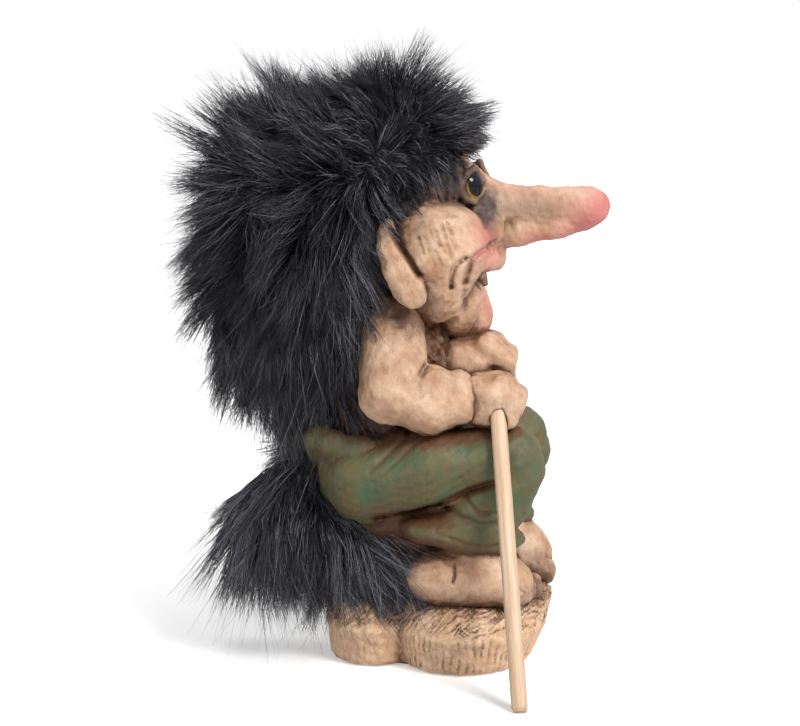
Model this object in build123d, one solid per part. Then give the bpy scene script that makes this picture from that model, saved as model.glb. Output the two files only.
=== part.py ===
from build123d import *
import math
import os

# A painted, cast folk troll that squats on a slab of ground, with its chin over its clasped
# hands, a long-pile fur wig, a fur tail tuft, glass eyes and a loose wooden walking stick.
# Millimetres. The troll faces +X, its right side is -Y, +Z is up, and the origin is the middle
# of the slab's underside. Rounded masses are chains of balls joined by tapered rods. A name
# that ends in share or shares is a fraction of the named size of the piece that it belongs to.

# Ground slab and the rock that the seat rests on
slab_height = 17.4
slab_rim_height = 9.2
front_lobe_x = 8.5
front_lobe_length = 39.0
front_lobe_width = 52.0
rear_lobe_x = -14.4
rear_lobe_length = 25.0
rear_lobe_width = 35.0
front_overhang = 1.8
rock_x = -15.0
rock_radius = 11.0
rock_height = 40.0
felt_length = 38.0
felt_width = 26.0
felt_thickness = 1.5
felt_x = 1.0

# Feet
foot_length = 30.0
foot_width = 15.0
foot_x = 10.6
foot_y = 14.0
foot_rise = 4.2
left_foot_advance = 3.4
ankle_radius = 6.6
ankle_x = 8.4
ankle_z = 31.0
instep_radius = 6.0
instep_x = 18.0
instep_z = 25.6
toe_radius = 2.7
big_toe_radius = 4.0
toe_count = 5

# Trouser legs and seat
hip_radius = 10.6
knee_radius = 8.8
calf_radius = 9.4
hip_x = -14.0
hip_y = 13.0
hip_z = 47.5
knee_x = 20.0
knee_y = 14.2
knee_z = 52.2
calf_x = 8.8
calf_z = 38.0
hem_radius = 6.2
hem_length = 27.0
hem_x = 9.4
hem_z = 34.6
seat_radius = 14.5
seat_width = 41.0
seat_x = -15.0
seat_z = 47.5
waist_radius = 18.2
waist_height = 12.0
waist_x = -17.8
waist_z = 53.0

# Torso
belly_radius = 17.8
chest_radius = 16.8
torso_x = -13.0
belly_z = 63.0
chest_z = 76.5
shoulder_radius = 9.0
shoulder_x = -9.5
shoulder_y = 16.5
shoulder_z = 84.0

# Arms
upper_arm_radius = 8.2
elbow_radius = 8.9
wrist_radius = 7.6
elbow_x = -7.2
elbow_y = 22.3
elbow_z = 69.6
right_wrist_x = 4.6
right_wrist_y = 19.0
right_wrist_z = 69.4
left_wrist_x = 5.4
left_wrist_y = 13.0
left_wrist_z = 73.6

# Hands, the lower one on the stick and the other laid over it
fist_radius = 7.4
fist_x = 15.0
fist_y = -13.0
fist_z = 67.4
fist_width = 17.5
upper_hand_radius = 7.3
upper_hand_x = 11.2
upper_hand_y = 1.5
upper_hand_z = 76.8
upper_hand_width = 18.0
finger_radius = 2.6
finger_length = 7.0
finger_count = 4

# Head
cranium_radius = 21.4
cranium_x = -11.0
cranium_z = 118.2
brow_radius = 5.6
brow_x = 5.6
brow_y = 8.0
brow_z = 123.4
cheek_radius = 12.4
cheek_x = 2.6
cheek_y = 14.4
cheek_z = 105.6
jowl_radius = 8.4
jowl_x = 1.6
jowl_y = 13.4
jowl_z = 94.4
jaw_radius = 15.6
jaw_x = -6.0
jaw_z = 98.6
lip_radius = 6.2
lip_x = 9.6
lip_y = 4.6
lip_z = 101.4
chin_radius = 5.8
chin_x = 8.6
chin_y = 3.2
chin_z = 90.0
nose_root_radius = 8.4
nose_middle_radius = 5.9
nose_tip_radius = 5.1
nose_root_x = 8.5
nose_root_z = 113.2
nose_middle_x = 24.0
nose_middle_z = 112.6
nose_tip_x = 37.8
nose_tip_z = 114.2
ear_length = 25.0
ear_radius = 4.6
ear_top_radius = 3.2
ear_lobe_radius = 2.6
ear_lean_degrees = 27.0
ear_x = -5.6
ear_y = 23.4
ear_z = 102.0
mouth_radius = 2.3
mouth_width = 15.0
mouth_x = 14.2
mouth_z = 95.8
tooth_radius = 1.3
tooth_length = 4.4
tooth_x = 12.4
tooth_y = -3.0
tooth_z = 95.8
eye_radius = 3.4
eye_x = 7.6
eye_y = 8.4
eye_z = 119.9
eye_clearance = 0.05
eye_wire_radius = 0.5
eye_wire_length = 9.0

# Fur
backing_thickness = 1.5
fur_radius = 34.5
fur_x = -32.5
fur_z = 116.0
mane_radius = 24.0
mane_x = -37.0
mane_top_z = 92.0
mane_bottom_z = 79.5
fringe_radius = 11.0
fringe_tip_radius = 7.4
fringe_x = -12.0
fringe_z = 138.6
fringe_tip_x = 5.6
fringe_tip_z = 138.2
fringe_y = 11.0
hairline_x = -11.0
hairline_z = 128.5
tail_fur_radius = 20.6
tail_fur_x = -40.2
tail_fur_z = 30.6
tail_fur_front_radius = 14.5
tail_fur_front_x = -21.5
tail_fur_front_z = 25.6
tail_root_radius = 4.6
tail_end_radius = 3.4
tail_root_x = -26.0
tail_root_z = 43.0
tail_end_x = -39.0
tail_end_z = 33.0

# Walking stick
stick_radius = 2.0
stick_socket_depth = 7.5
stick_clearance = 0.1
socket_end_gap = 0.4
stick_foot_x = 24.5
stick_foot_y = -51.0
socket_mouth_x = 17.1
socket_mouth_y = -21.0
socket_mouth_z = 64.0

# The turn that keeps the seams of neighbouring balls apart
seam_turn_degrees = (17.0, 23.0, 131.0)

# Shares of a piece's own sizes
rod_share = 0.97
slab_level_shares = (0.88, 1.0, 0.80)
slab_width_shares = (0.92, 1.0, 0.74)
heel_radius_share = 0.46
ball_of_foot_share = 0.44
toe_front_share = 0.37
toe_row_share = 0.35
toe_rise_share = 0.60
finger_front_share = 0.74
finger_row_share = 0.34
nape_radius_share = 0.82
nape_rise_share = 0.35
back_radius_share = 0.98
back_rise_share = 0.55


def ball(place, radius):
    """A sphere whose seam and poles are turned away from the planes that pieces share."""
    return Pos(*place) * Rot(*seam_turn_degrees) * Sphere(radius)


def rod(start, start_radius, end, end_radius):
    """A straight rod between two places, tapered where its ends differ."""
    line = Vector(*end) - Vector(*start)
    middle = Plane(origin=Vector(*start) + line / 2, z_dir=line)
    if math.isclose(start_radius, end_radius):
        return middle * Cylinder(start_radius, line.length)
    return middle * Cone(start_radius, end_radius, line.length)


def capsule(start, start_radius, end, end_radius):
    """A tapered rod with a ball at each end, turned as one solid."""
    line = Vector(*end) - Vector(*start)
    lean = math.asin((start_radius - end_radius) / line.length)
    quarter = math.pi / 2

    def outline(height, radius, angle):
        return (radius * math.cos(angle), 0, height + radius * math.sin(angle))

    low = [outline(0, start_radius, angle) for angle in (-quarter, (lean - quarter) / 2, lean)]
    high = [
        outline(line.length, end_radius, angle) for angle in (lean, (lean + quarter) / 2, quarter)
    ]
    edges = ThreePointArc(*low) + Line(low[2], high[0]) + ThreePointArc(*high)
    profile = make_face(edges + Line(high[2], low[0]))
    place = Plane(origin=start, z_dir=line) * Rot(0, 0, seam_turn_degrees[2])
    return place * revolve(profile, Axis.Z)


def chain(*joints):
    """Tapered runs through the given places and radii, one after the other."""
    (place, radius), (next_place, next_radius) = joints[:2]
    shape = capsule(place, radius, next_place, next_radius)
    for end_place, end_radius in joints[2:]:
        shape += capsule(next_place, next_radius * rod_share, end_place, end_radius)
        next_place, next_radius = end_place, end_radius
    return shape


def main_solid(shape):
    """The largest solid of a cut shape, without the crumbs that a cut can leave."""
    return max(shape.solids(), key=lambda solid: solid.volume)


def cut(shape, *tools):
    """A shape without what its neighbours fill."""
    for tool in tools:
        shape = shape - tool
    return main_solid(shape)


def lobe(place_x, length, width, overhang):
    """One lobe of the ground: a rim that flares a little, then a sloping top."""
    levels = (0, slab_rim_height, slab_height)
    sections = []
    for step, (level, long_share, wide_share) in enumerate(
        zip(levels, slab_level_shares, slab_width_shares)
    ):
        shift = overhang * (step - 1)
        section = Ellipse(length / 2 * long_share, width / 2 * wide_share)
        sections.append(Pos(place_x + shift, 0, level) * section)
    return loft(sections, ruled=True)


def felt_pad():
    """The felt pad in the slab's underside."""
    return extrude(Pos(felt_x, 0, 0) * Ellipse(felt_length / 2, felt_width / 2), felt_thickness)


def ground():
    """Both lobes of the slab and the rock under the seat, with the felt's recess below."""
    front = lobe(front_lobe_x, front_lobe_length, front_lobe_width, front_overhang)
    rear = lobe(rear_lobe_x, rear_lobe_length, rear_lobe_width, 0)
    rock_top = (rock_x, 0, rock_height)
    rock = rod((rock_x, 0, slab_rim_height), rock_radius, rock_top, rock_radius)
    return front + rear + rock - felt_pad()


def foot(side, advance):
    """A bare foot: heel, ball, instep and a row of toes, the big one on the inside."""
    middle_x = foot_x + advance
    middle_y = side * foot_y
    middle_z = slab_height + foot_rise
    heel_radius = foot_width * heel_radius_share
    front_radius = foot_width * ball_of_foot_share
    heel = (middle_x - foot_length / 2 + heel_radius, middle_y, middle_z)
    front = (middle_x + foot_length / 2 - front_radius - toe_radius, middle_y, middle_z)
    ankle = (ankle_x + advance, middle_y, ankle_z)
    instep = (instep_x + advance, middle_y, instep_z)
    shape = chain((heel, heel_radius), (front, front_radius))
    shape += chain((ankle, ankle_radius), (instep, instep_radius))
    for number in range(toe_count):
        row_share = 1 - 2 * number / (toe_count - 1)
        radius = big_toe_radius if number == 0 else toe_radius
        toe_x = middle_x + foot_length * toe_front_share - toe_radius * abs(row_share) / 2
        toe_y = middle_y - side * row_share * foot_width * toe_row_share
        shape += ball((toe_x, toe_y, slab_height + radius * toe_rise_share), radius)
    return shape


def trouser_leg(side):
    """Thigh, knee and calf of one trouser leg, with its turned hem."""
    hip = (hip_x, side * hip_y, hip_z)
    knee = (knee_x, side * knee_y, knee_z)
    calf = (calf_x, side * knee_y, calf_z)
    hem_reach = hem_length / 2 - hem_radius
    hem_back = (hem_x - hem_reach, side * knee_y, hem_z)
    hem_front = (hem_x + hem_reach, side * knee_y, hem_z)
    leg = chain((hip, hip_radius), (knee, knee_radius), (calf, calf_radius))
    return leg + chain((hem_back, hem_radius), (hem_front, hem_radius))


def trouser_seat():
    """The seat of the trousers and their waist."""
    reach = seat_width / 2 - seat_radius
    seat = chain(((seat_x, -reach, seat_z), seat_radius), ((seat_x, reach, seat_z), seat_radius))
    low = (waist_x, 0, waist_z - waist_height / 2)
    high = (waist_x, 0, waist_z + waist_height / 2)
    return seat + rod(low, waist_radius * rod_share, high, waist_radius)


def trunk():
    """The trunk with both shoulders."""
    shape = chain(((torso_x, 0, belly_z), belly_radius), ((torso_x, 0, chest_z), chest_radius))
    for side in (-1, 1):
        shape += ball((shoulder_x, side * shoulder_y, shoulder_z), shoulder_radius)
    return shape


def arm(side, wrist):
    """Upper arm and forearm, bent at the elbow."""
    shoulder = (shoulder_x, side * shoulder_y, shoulder_z)
    elbow = (elbow_x, side * elbow_y, elbow_z)
    return chain((shoulder, upper_arm_radius), (elbow, elbow_radius), (wrist, wrist_radius))


def hand(place, radius, width):
    """A closed hand with its fingers bent down over the front."""
    reach = width / 2 - radius
    near = (place[0], place[1] - reach, place[2])
    far = (place[0], place[1] + reach, place[2])
    shape = chain((near, radius), (far, radius))
    for number in range(finger_count):
        row_share = 2 * number / (finger_count - 1) - 1
        front = place[0] + radius * finger_front_share
        across = place[1] + row_share * width * finger_row_share
        knuckle = (front, across, place[2] + finger_length / 2)
        tip = (front, across, place[2] - finger_length / 2)
        shape += chain((knuckle, finger_radius), (tip, finger_radius))
    return shape


def nose():
    """The long nose, in two tapering runs."""
    root = (nose_root_x, 0, nose_root_z)
    middle = (nose_middle_x, 0, nose_middle_z)
    tip = (nose_tip_x, 0, nose_tip_z)
    return chain((root, nose_root_radius), (middle, nose_middle_radius), (tip, nose_tip_radius))


def ear(side):
    """A leaf-shaped ear that leans back along the cheek."""
    lean = math.radians(ear_lean_degrees)
    along = Vector(-math.sin(lean), 0, math.cos(lean))
    middle = Vector(ear_x, side * ear_y, ear_z)
    top = middle + along * (ear_length / 2 - ear_top_radius)
    lobe_end = middle - along * (ear_length / 2 - ear_lobe_radius)
    joints = ((top, ear_top_radius), (middle, ear_radius), (lobe_end, ear_lobe_radius))
    return chain(*joints)


def across(place_x, place_y, place_z, radius):
    """A rounded bar from one side of the face to the other."""
    near = (place_x, -place_y, place_z)
    far = (place_x, place_y, place_z)
    return chain((near, radius), (far, radius))


def head_casting():
    """Cranium, brow, face, nose and ears as one casting, with the open mouth."""
    shape = ball((cranium_x, 0, cranium_z), cranium_radius) + ball((jaw_x, 0, jaw_z), jaw_radius)
    for side in (-1, 1):
        shape += ball((cheek_x, side * cheek_y, cheek_z), cheek_radius)
        shape += ball((jowl_x, side * jowl_y, jowl_z), jowl_radius)
        shape += ear(side)
    shape += across(brow_x, brow_y, brow_z, brow_radius)
    shape += across(lip_x, lip_y, lip_z, lip_radius)
    shape += across(chin_x, chin_y, chin_z, chin_radius)
    shape += nose()
    return shape - across(mouth_x, mouth_width / 2 - mouth_radius, mouth_z, mouth_radius)


def eye(side, radius):
    """A glass eye ball."""
    return ball((eye_x, side * eye_y, eye_z), radius)


def eye_wire(side):
    """The wire shank that runs from the middle of an eye into the head."""
    start = (eye_x - eye_radius - eye_wire_length, side * eye_y, eye_z)
    end = (eye_x, side * eye_y, eye_z)
    return rod(start, eye_wire_radius, end, eye_wire_radius)


def tooth_peg():
    """The one tooth, set in the upper gum."""
    reach = tooth_length / 2 - tooth_radius
    top = (tooth_x, tooth_y, tooth_z + reach)
    tip = (tooth_x, tooth_y, tooth_z - reach)
    return chain((top, tooth_radius), (tip, tooth_radius))


def behind_hairline(shape):
    """What of a shape lies behind the hairline, or above the forehead."""
    reach = 4 * fur_radius
    front = Pos(hairline_x + reach / 2, 0, hairline_z - reach / 2) * Box(reach, reach, reach)
    return shape - front


def scalp(growth):
    """Cranium, nape and upper back under the fur, grown by a thickness."""
    crown = ball((cranium_x, 0, cranium_z), cranium_radius + growth)
    nape_z = cranium_z - cranium_radius * (1 + nape_rise_share)
    nape = ball((cranium_x, 0, nape_z), cranium_radius * nape_radius_share + growth)
    back_z = belly_z + (chest_z - belly_z) * back_rise_share
    back = ball((torso_x, 0, back_z), belly_radius * back_radius_share + growth)
    return crown + nape + back


def fur_mass():
    """The outer shape of the fur on the head, down the back and over the brow."""
    top = (mane_x, 0, mane_top_z)
    bottom = (mane_x, 0, mane_bottom_z)
    shape = ball((fur_x, 0, fur_z), fur_radius)
    shape += chain((top, mane_radius), (bottom, mane_radius))
    for side in (-1, 0, 1):
        root = (fringe_x, side * fringe_y, fringe_z)
        tip = (fringe_tip_x, side * fringe_y / 2, fringe_tip_z)
        shape += chain((root, fringe_radius), (tip, fringe_tip_radius))
    return shape


def tail_stub():
    """The short tail that carries the tuft."""
    root = (tail_root_x, 0, tail_root_z)
    end = (tail_end_x, 0, tail_end_z)
    return chain((root, tail_root_radius), (end, tail_end_radius))


def tail_tuft():
    """The outer shape of the tail's fur."""
    back = (tail_fur_x, 0, tail_fur_z)
    front = (tail_fur_front_x, 0, tail_fur_front_z)
    return chain((back, tail_fur_radius), (front, tail_fur_front_radius))


def stick_axis():
    """The unit vector up the stick, from its foot to the socket's mouth."""
    mouth = Vector(socket_mouth_x, socket_mouth_y, socket_mouth_z)
    return (mouth - Vector(stick_foot_x, stick_foot_y, 0)).normalized()


def stick_rod(radius, low, high):
    """A rod on the stick's axis, between two lengths measured up from the socket's mouth."""
    axis = stick_axis()
    mouth = Vector(socket_mouth_x, socket_mouth_y, socket_mouth_z)
    return rod(mouth + axis * low, radius, mouth + axis * high, radius)


def walking_stick():
    """The stick, square cut, with the low edge of its foot on the floor."""
    axis = stick_axis()
    lean = math.hypot(axis.X, axis.Y)
    drop = (socket_mouth_z - stick_radius * lean) / axis.Z
    return stick_rod(stick_radius, -drop, stick_socket_depth)


def build_nodes():
    """Every sub-part by name. Each is cut by the whole masses of those that come before it."""
    head = head_casting()
    fist = hand((fist_x, fist_y, fist_z), fist_radius, fist_width)
    upper_hand = hand((upper_hand_x, upper_hand_y, upper_hand_z), upper_hand_radius, upper_hand_width)
    right_wrist = (right_wrist_x, -right_wrist_y, right_wrist_z)
    left_wrist = (left_wrist_x, left_wrist_y, left_wrist_z)
    arms = (arm(-1, right_wrist), arm(1, left_wrist))
    torso = trunk()
    legs = (trouser_leg(-1), trouser_leg(1))
    seat = trouser_seat()
    feet = (foot(-1, 0), foot(1, left_foot_advance))
    slab = ground()
    backing = scalp(backing_thickness)
    fur = fur_mass()
    stub = tail_stub()
    eyes = tuple(eye(side, eye_radius + eye_clearance) for side in (-1, 1))
    wires = tuple(eye_wire(side) for side in (-1, 1))
    socket = stick_rod(stick_radius + stick_clearance, -fist_width, stick_socket_depth + socket_end_gap)
    hands = (fist, upper_hand)
    body = (head, *hands, *arms, torso, *legs, seat)

    nodes = {
        "head": cut(head, *eyes, *wires, tooth_peg()),
        "right_fist": cut(fist, head, socket),
        "left_hand": cut(upper_hand, head, fist, socket),
        "right_arm": cut(arms[0], head, *hands),
        "left_arm": cut(arms[1], head, *hands),
        "torso": cut(torso, head, *hands, *arms),
        "right_trouser_leg": cut(legs[0], *hands, *arms, torso),
        "left_trouser_leg": cut(legs[1], *hands, *arms, torso, legs[0]),
        "trouser_seat": cut(seat, *arms, torso, *legs),
        "ground_slab": cut(slab, *legs, seat, torso),
        "base_felt": felt_pad(),
        "right_foot": cut(feet[0], *legs, slab),
        "left_foot": cut(feet[1], *legs, slab, feet[0]),
        "tooth": tooth_peg(),
        "wig_backing": cut(behind_hairline(backing), *body),
        "wig_fur": cut(behind_hairline(fur), backing, *body),
        "tail_stub": cut(stub, seat, slab),
        "tail_fur": cut(tail_tuft(), stub, slab, seat, *legs, *feet, torso, fur),
        "walking_stick": walking_stick(),
    }
    for side, name, wire in zip((-1, 1), ("right", "left"), wires):
        nodes[name + "_eye"] = eye(side, eye_radius)
        nodes[name + "_eye_wire"] = cut(wire, eye(side, eye_radius))
    return nodes


os.makedirs("parts", exist_ok=True)
for node_name, node_shape in build_nodes().items():
    export_step(node_shape, f"parts/{node_name}.step")
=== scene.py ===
import math

import bpy
import mathutils
import numpy as np
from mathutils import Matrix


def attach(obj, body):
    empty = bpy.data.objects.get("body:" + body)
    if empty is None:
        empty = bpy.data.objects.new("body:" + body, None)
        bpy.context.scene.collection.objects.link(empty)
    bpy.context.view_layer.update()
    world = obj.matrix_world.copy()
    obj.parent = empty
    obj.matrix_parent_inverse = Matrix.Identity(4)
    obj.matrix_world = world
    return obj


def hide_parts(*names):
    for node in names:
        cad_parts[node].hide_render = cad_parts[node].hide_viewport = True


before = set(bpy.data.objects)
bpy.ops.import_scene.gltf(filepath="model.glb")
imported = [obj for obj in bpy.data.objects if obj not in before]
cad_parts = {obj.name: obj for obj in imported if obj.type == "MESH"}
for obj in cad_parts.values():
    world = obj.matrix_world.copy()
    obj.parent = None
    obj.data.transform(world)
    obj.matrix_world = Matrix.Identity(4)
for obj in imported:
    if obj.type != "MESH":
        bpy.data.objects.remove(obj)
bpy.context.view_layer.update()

# The looks of a folk troll ornament: painted castings, a black fur wig and tail, glass eyes and
# a wooden stick. Shapes are worked out in millimetres as distance fields, from rounded masses
# that are blended, creased and dented, and then skinned. The troll faces +X, its right side is
# -Y, and the floor is at zero height.

bl_info = {
    "name": "Folk troll ornament",
    "version": (1, 0, 0),
    "blender": (4, 5, 0),
    "location": "View3D > Sidebar > Troll",
    "description": "Makes a squatting troll ornament with fur, from named sizes and colours",
    "category": "Add Mesh",
}

MM = 0.001
FIGURE = "figure"
STICK = "stick"


# Distance fields

def along(points, start, end):
    """How far along a straight run each point lies, from 0 to 1, and how far off it."""
    start = np.asarray(start, np.float32)
    line = np.asarray(end, np.float32) - start
    share = np.clip((points - start) @ line / (line @ line), 0, 1)
    return share, np.linalg.norm(points - start - share[:, None] * line, axis=1)


def oval(points, place, radii, lean=0.0):
    """An ellipsoid, leaning back about the Y axis by an angle in degrees."""
    off = points - np.asarray(place, np.float32)
    if lean:
        turn = math.radians(lean)
        x = off[:, 0] * math.cos(turn) + off[:, 2] * math.sin(turn)
        z = off[:, 2] * math.cos(turn) - off[:, 0] * math.sin(turn)
        off = np.stack((x, off[:, 1], z), axis=1)
    scaled = off / np.asarray(radii, np.float32)
    far = np.linalg.norm(scaled, axis=1)
    steep = np.linalg.norm(scaled / np.asarray(radii, np.float32), axis=1)
    return far * (far - 1) / np.maximum(steep, 1e-6)


def rod(points, start, end, start_radius, end_radius):
    """A tapered rod with round ends."""
    share, off = along(points, start, end)
    return off - start_radius - (end_radius - start_radius) * share


def path(points, joints, blend):
    """Rods through a list of places with radii, as (place, radius) pairs."""
    shape = None
    for (start, start_radius), (end, end_radius) in zip(joints, joints[1:]):
        run = rod(points, start, end, start_radius, end_radius)
        shape = run if shape is None else join(shape, run, blend)
    return shape


def join(first, second, blend):
    """Two solids as one, with a fillet where they meet."""
    share = np.clip(0.5 + 0.5 * (second - first) / blend, 0, 1)
    return second + (first - second) * share - blend * share * (1 - share)


def carve(first, second, blend):
    """The first solid without the second, with a rounded edge."""
    return -join(-first, second, blend)


def keep(first, second, blend):
    """What two solids share, with a rounded edge."""
    return -join(-first, -second, blend)


def built(points, rows, shape=None):
    """Forms joined on in turn, from rows of a fillet, a form and the form's sizes."""
    for blend, form, *sizes in rows:
        part = form(points, *sizes)
        shape = part if shape is None else join(shape, part, blend)
    return shape


def mirrored(points):
    """The same points, all brought to one side of the middle."""
    return points * np.array((1, 0, 1), np.float32) + np.abs(points) * np.array((0, 1, 0), np.float32)


def stroke(points, line):
    """Distance to a line of (x, z) points that is seen from the side."""
    side = points[:, (0, 2)]
    nearest = None
    for start, end in zip(line, line[1:]):
        off = along(side, start, end)[1]
        nearest = off if nearest is None else np.minimum(nearest, off)
    return nearest


def dent(off, width, depth):
    """A soft groove, from the distance to its middle."""
    return depth * np.exp(-((off / width) ** 2))


def creased(shape, points, lines, beyond=-math.inf):
    """A shape with grooves along (line, width, depth) rows, only where y is beyond a distance."""
    for line, width, depth in lines:
        shape = shape + dent(stroke(points, line), width, depth) * (points[:, 1] > beyond)
    return shape


def ripple(points, spacing, seed, rounds=7):
    """Smooth bumps of a typical spacing, from about -1 to 1."""
    draw = np.random.default_rng(seed)
    total = 0
    for _ in range(rounds):
        wave = draw.normal(size=3)
        wave *= math.tau / spacing * draw.uniform(0.7, 1.4) / np.linalg.norm(wave)
        total = total + np.sin(points @ wave.astype(np.float32) + np.float32(draw.uniform(0, math.tau)))
    return total / math.sqrt(rounds)


# The head. Every row of a table is a fillet, a form and the form's sizes in millimetres.

EYE = (8.2, 8.2, 119.6)
EYE_RADIUS = 4.1
SOCKET_RADIUS = EYE_RADIUS + 0.15


def eyelid(side):
    """The rim of skin over or under the eye, from its outer corner to its inner one."""
    middle, rise = EYE[2], 3.8 * side
    return (
        ((6.8, 12.6, middle), 0.9), ((8.2, 12.0, middle + rise * 0.75), 0.9),
        ((10.1, 8.6, middle + rise * 1.05), 0.9), ((12.0, 4.8, middle + rise * 0.3), 0.8),
    )


SKULL = (
    (0, oval, (-11, 0, 118), (20, 20, 21.5)),
    (5, oval, (-6, 0, 99), (13, 15.5, 15)),
    (2.0, oval, (0.6, 9.0, 120.6), (7.4, 8.2, 7.6)),
    (1.5, path, (((3.8, 0, 122.2), 4.6), ((12.0, 0, 115.4), 5.2)), 2),
    (1.2, path, (((1.6, 13.6, 124.0), 1.6), ((5.0, 9.4, 124.8), 1.8), ((5.2, 4.4, 124.8), 1.8)), 1),
)
CHEEK = (
    (0, oval, (2.4, 13.8, 105.0), (11.8, 12.4, 11.2)),
    (5, rod, (-1.5, 14.2, 103), (0.4, 13.4, 94.2), 11, 8.0),
)
UPPER_LIP = (
    (0, path, (((12.0, 0, 104.6), 4.6), ((14.2, 0, 101.2), 3.0), ((14.6, 0, 99.6), 2.0)), 1),
    (1.2, path, (((8.5, 9.0, 101.0), 3.4), ((12.5, 4.0, 101.2), 3.4), ((14.0, 0, 101.0), 3.0)), 1),
)
LOWER_LIP = (((7.4, 11.0, 96.0), 0.8), ((9.2, 8.4, 93.6), 1.1), ((10.6, 4.2, 91.8), 1.4), ((11.2, 0, 91.2), 1.5))
NOSE = (
    (0, path, (((8.5, 0, 113.8), 6.6), ((16, 0, 113.9), 5.2), ((26, 0, 113.8), 4.7), ((37.8, 0, 113.9), 5.0)), 2),
    (0.7, path, (((12, 0, 107.0), 5.0), ((20, 0, 107.9), 3.7), ((30, 0, 109.6), 3.4), ((36, 0, 111.6), 3.8)), 2),
)
FACE = (
    (1.0, path, eyelid(1), 0.8),
    (1.0, path, eyelid(-1), 0.8),
    (1.0, built, CHEEK),
    (0.6, built, UPPER_LIP),
    (1.2, path, (((3.6, 0, 91.6), 8.0), ((6.6, 2.4, 86.4), 7.4)), 1),
    (1.5, oval, (6.4, 7.6, 90.0), (5.4, 6.4, 7.0)),
    (1.6, path, LOWER_LIP, 0.6),
    (1.8, built, NOSE),
    (3.0, oval, (10.5, 5.6, 108.4), (6.4, 4.6, 4.4)),
)
MOUTH = ((14.0, 0, 95.9), (6.0, 9.6, 1.9), -16)
EAR_LEAF = (
    ((-10.0, 22.8, 110.8), 2.0), ((-9.0, 24.6, 106.0), 3.0), ((-6.8, 26.0, 100.6), 3.4),
    ((-4.4, 26.2, 96.4), 3.8), ((-3.2, 25.8, 94.6), 3.3),
)
EAR_THICKNESS = ((-3, 24.5, 101), (12, 4.2, 16))
EAR_CREASES = ((((-8.8, 110.2), (-6.6, 106.8), (-3.8, 102.8), (-1.8, 99.6)), 0.5, 1.5),)
FACE_CREASES = (
    (((9.0, 103.4), (7.2, 102.2), (6.1, 100.4), (5.6, 98.4), (5.5, 96.2)), 0.75, 1.35),
    (((15.5, 105.6), (12.4, 104.6), (10.4, 103.0), (9.4, 100.2), (8.6, 97.4)), 0.8, 1.1),
    (((8.2, 97.0), (7.9, 93.0), (7.8, 89.0)), 0.8, 0.45),
    (((5.0, 124.3), (4.0, 120.4), (3.6, 116.4)), 0.4, 0.6),
    (((6.6, 125.0), (5.6, 121.0), (5.2, 116.6)), 0.4, 0.6),
    (((17.0, 107.4), (22.3, 108.6), (31.0, 109.8)), 0.5, 0.5),
    (((13.3, 116.0), (12.4, 112.8), (13.0, 109.6)), 0.7, 0.5),
)
SLIT_WIDTH, SLIT_DEPTH, SLIT_GAP = 0.4, 0.42, 1.3
EAR_FROM, SLITS_FROM, FACE_FROM = 19, 18, 7


def cheek_slits():
    """The short cuts over the cheek, in two rows that lean forward."""
    for row, (start_x, top, count) in enumerate(((-1.8, 108.4, 6), (0.8, 105.2, 5))):
        for number in range(count):
            x = start_x + SLIT_GAP * number
            z = top + 0.75 * number - 0.6 * (number % 2)
            line = (x, z), (x + 1.2 + 0.2 * row, z - 3.7 + 0.7 * (number % 3))
            yield line, SLIT_WIDTH, SLIT_DEPTH


def head(points):
    """Cranium, brow, cheeks, jaw, mouth, nose and ears."""
    q = mirrored(points)
    shape = carve(built(q, SKULL), oval(q, EYE, (SOCKET_RADIUS,) * 3), 0.2)
    shape = carve(built(q, FACE, shape), oval(q, *MOUTH), 0.8)
    ear = keep(path(q, EAR_LEAF, 1.0), oval(q, *EAR_THICKNESS), 1.0)
    shape = creased(join(shape, ear, 0.3), q, EAR_CREASES, EAR_FROM)
    shape = creased(shape, q, FACE_CREASES, FACE_FROM)
    shape = creased(shape, q, cheek_slits(), SLITS_FROM)
    return shape + 0.22 * np.abs(ripple(points, 7, 3)) + 0.07 * ripple(points, 1.8, 4) - 0.1


# The trunk, arms and hands

TRUNK = (
    (0, oval, (-14, 0, 64), (14.5, 14.0, 20)),
    (5, oval, (-11, 0, 82), (15, 16, 12)),
    (3, oval, (-11, 13.0, 84), (6.5, 6.5, 6.5)),
    (4, rod, (-6, 3, 80), (3.5, 5, 67), 10, 9),
)
RIGHT_ARM = (
    (0, path, (((-9, -16.5, 85.4), 8.0), ((-8.6, -20.2, 78), 7.4), ((-9.4, -22.0, 70.2), 7.5)), 3),
    (1.2, path, (((-8.0, -22.0, 69.6), 6.6), ((0.5, -21.0, 67.0), 6.6), ((5.4, -19.4, 68.6), 6.8)), 2),
    (0.8, oval, (1.8, -20.6, 70.6), (6.2, 6.6, 6.6), 20),
    (0.6, oval, (7.6, -19.4, 69.2), (4.2, 6.4, 6.8), 8),
)
RIGHT_ARM_DENTS = (((6.2, -29, 73), (-1.6, -30, 62), 0.9, 0.5), ((2.8, -28, 66.6), (9.0, -27, 69.8), 0.8, 0.6))
LEFT_ARM = (
    (0, path, (((-10, 16.5, 84), 8.4), ((-9.4, 20.5, 76), 7.7), ((-7.2, 22.3, 69.2), 8.6)), 3),
    (1.6, path, (((-5.0, 21.6, 68.8), 8.3), ((5.4, 13.0, 73.4), 7.2)), 2),
)
LEFT_PALM = (
    (0, oval, (9.6, 0.5, 76.4), (8.8, 9.0, 7.8), -18),
    (3, oval, (8.0, -6.6, 74.6), (8.0, 7.0, 7.8), -24),
)
STICK_MOUTH = (17.1, -21.0, 64.0)
STICK_FOOT = (24.5, -51.0, 0.0)
STICK_RADIUS = 2.0
SOCKET_DEPTH, STICK_GAP = 8.2, 0.15


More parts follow.
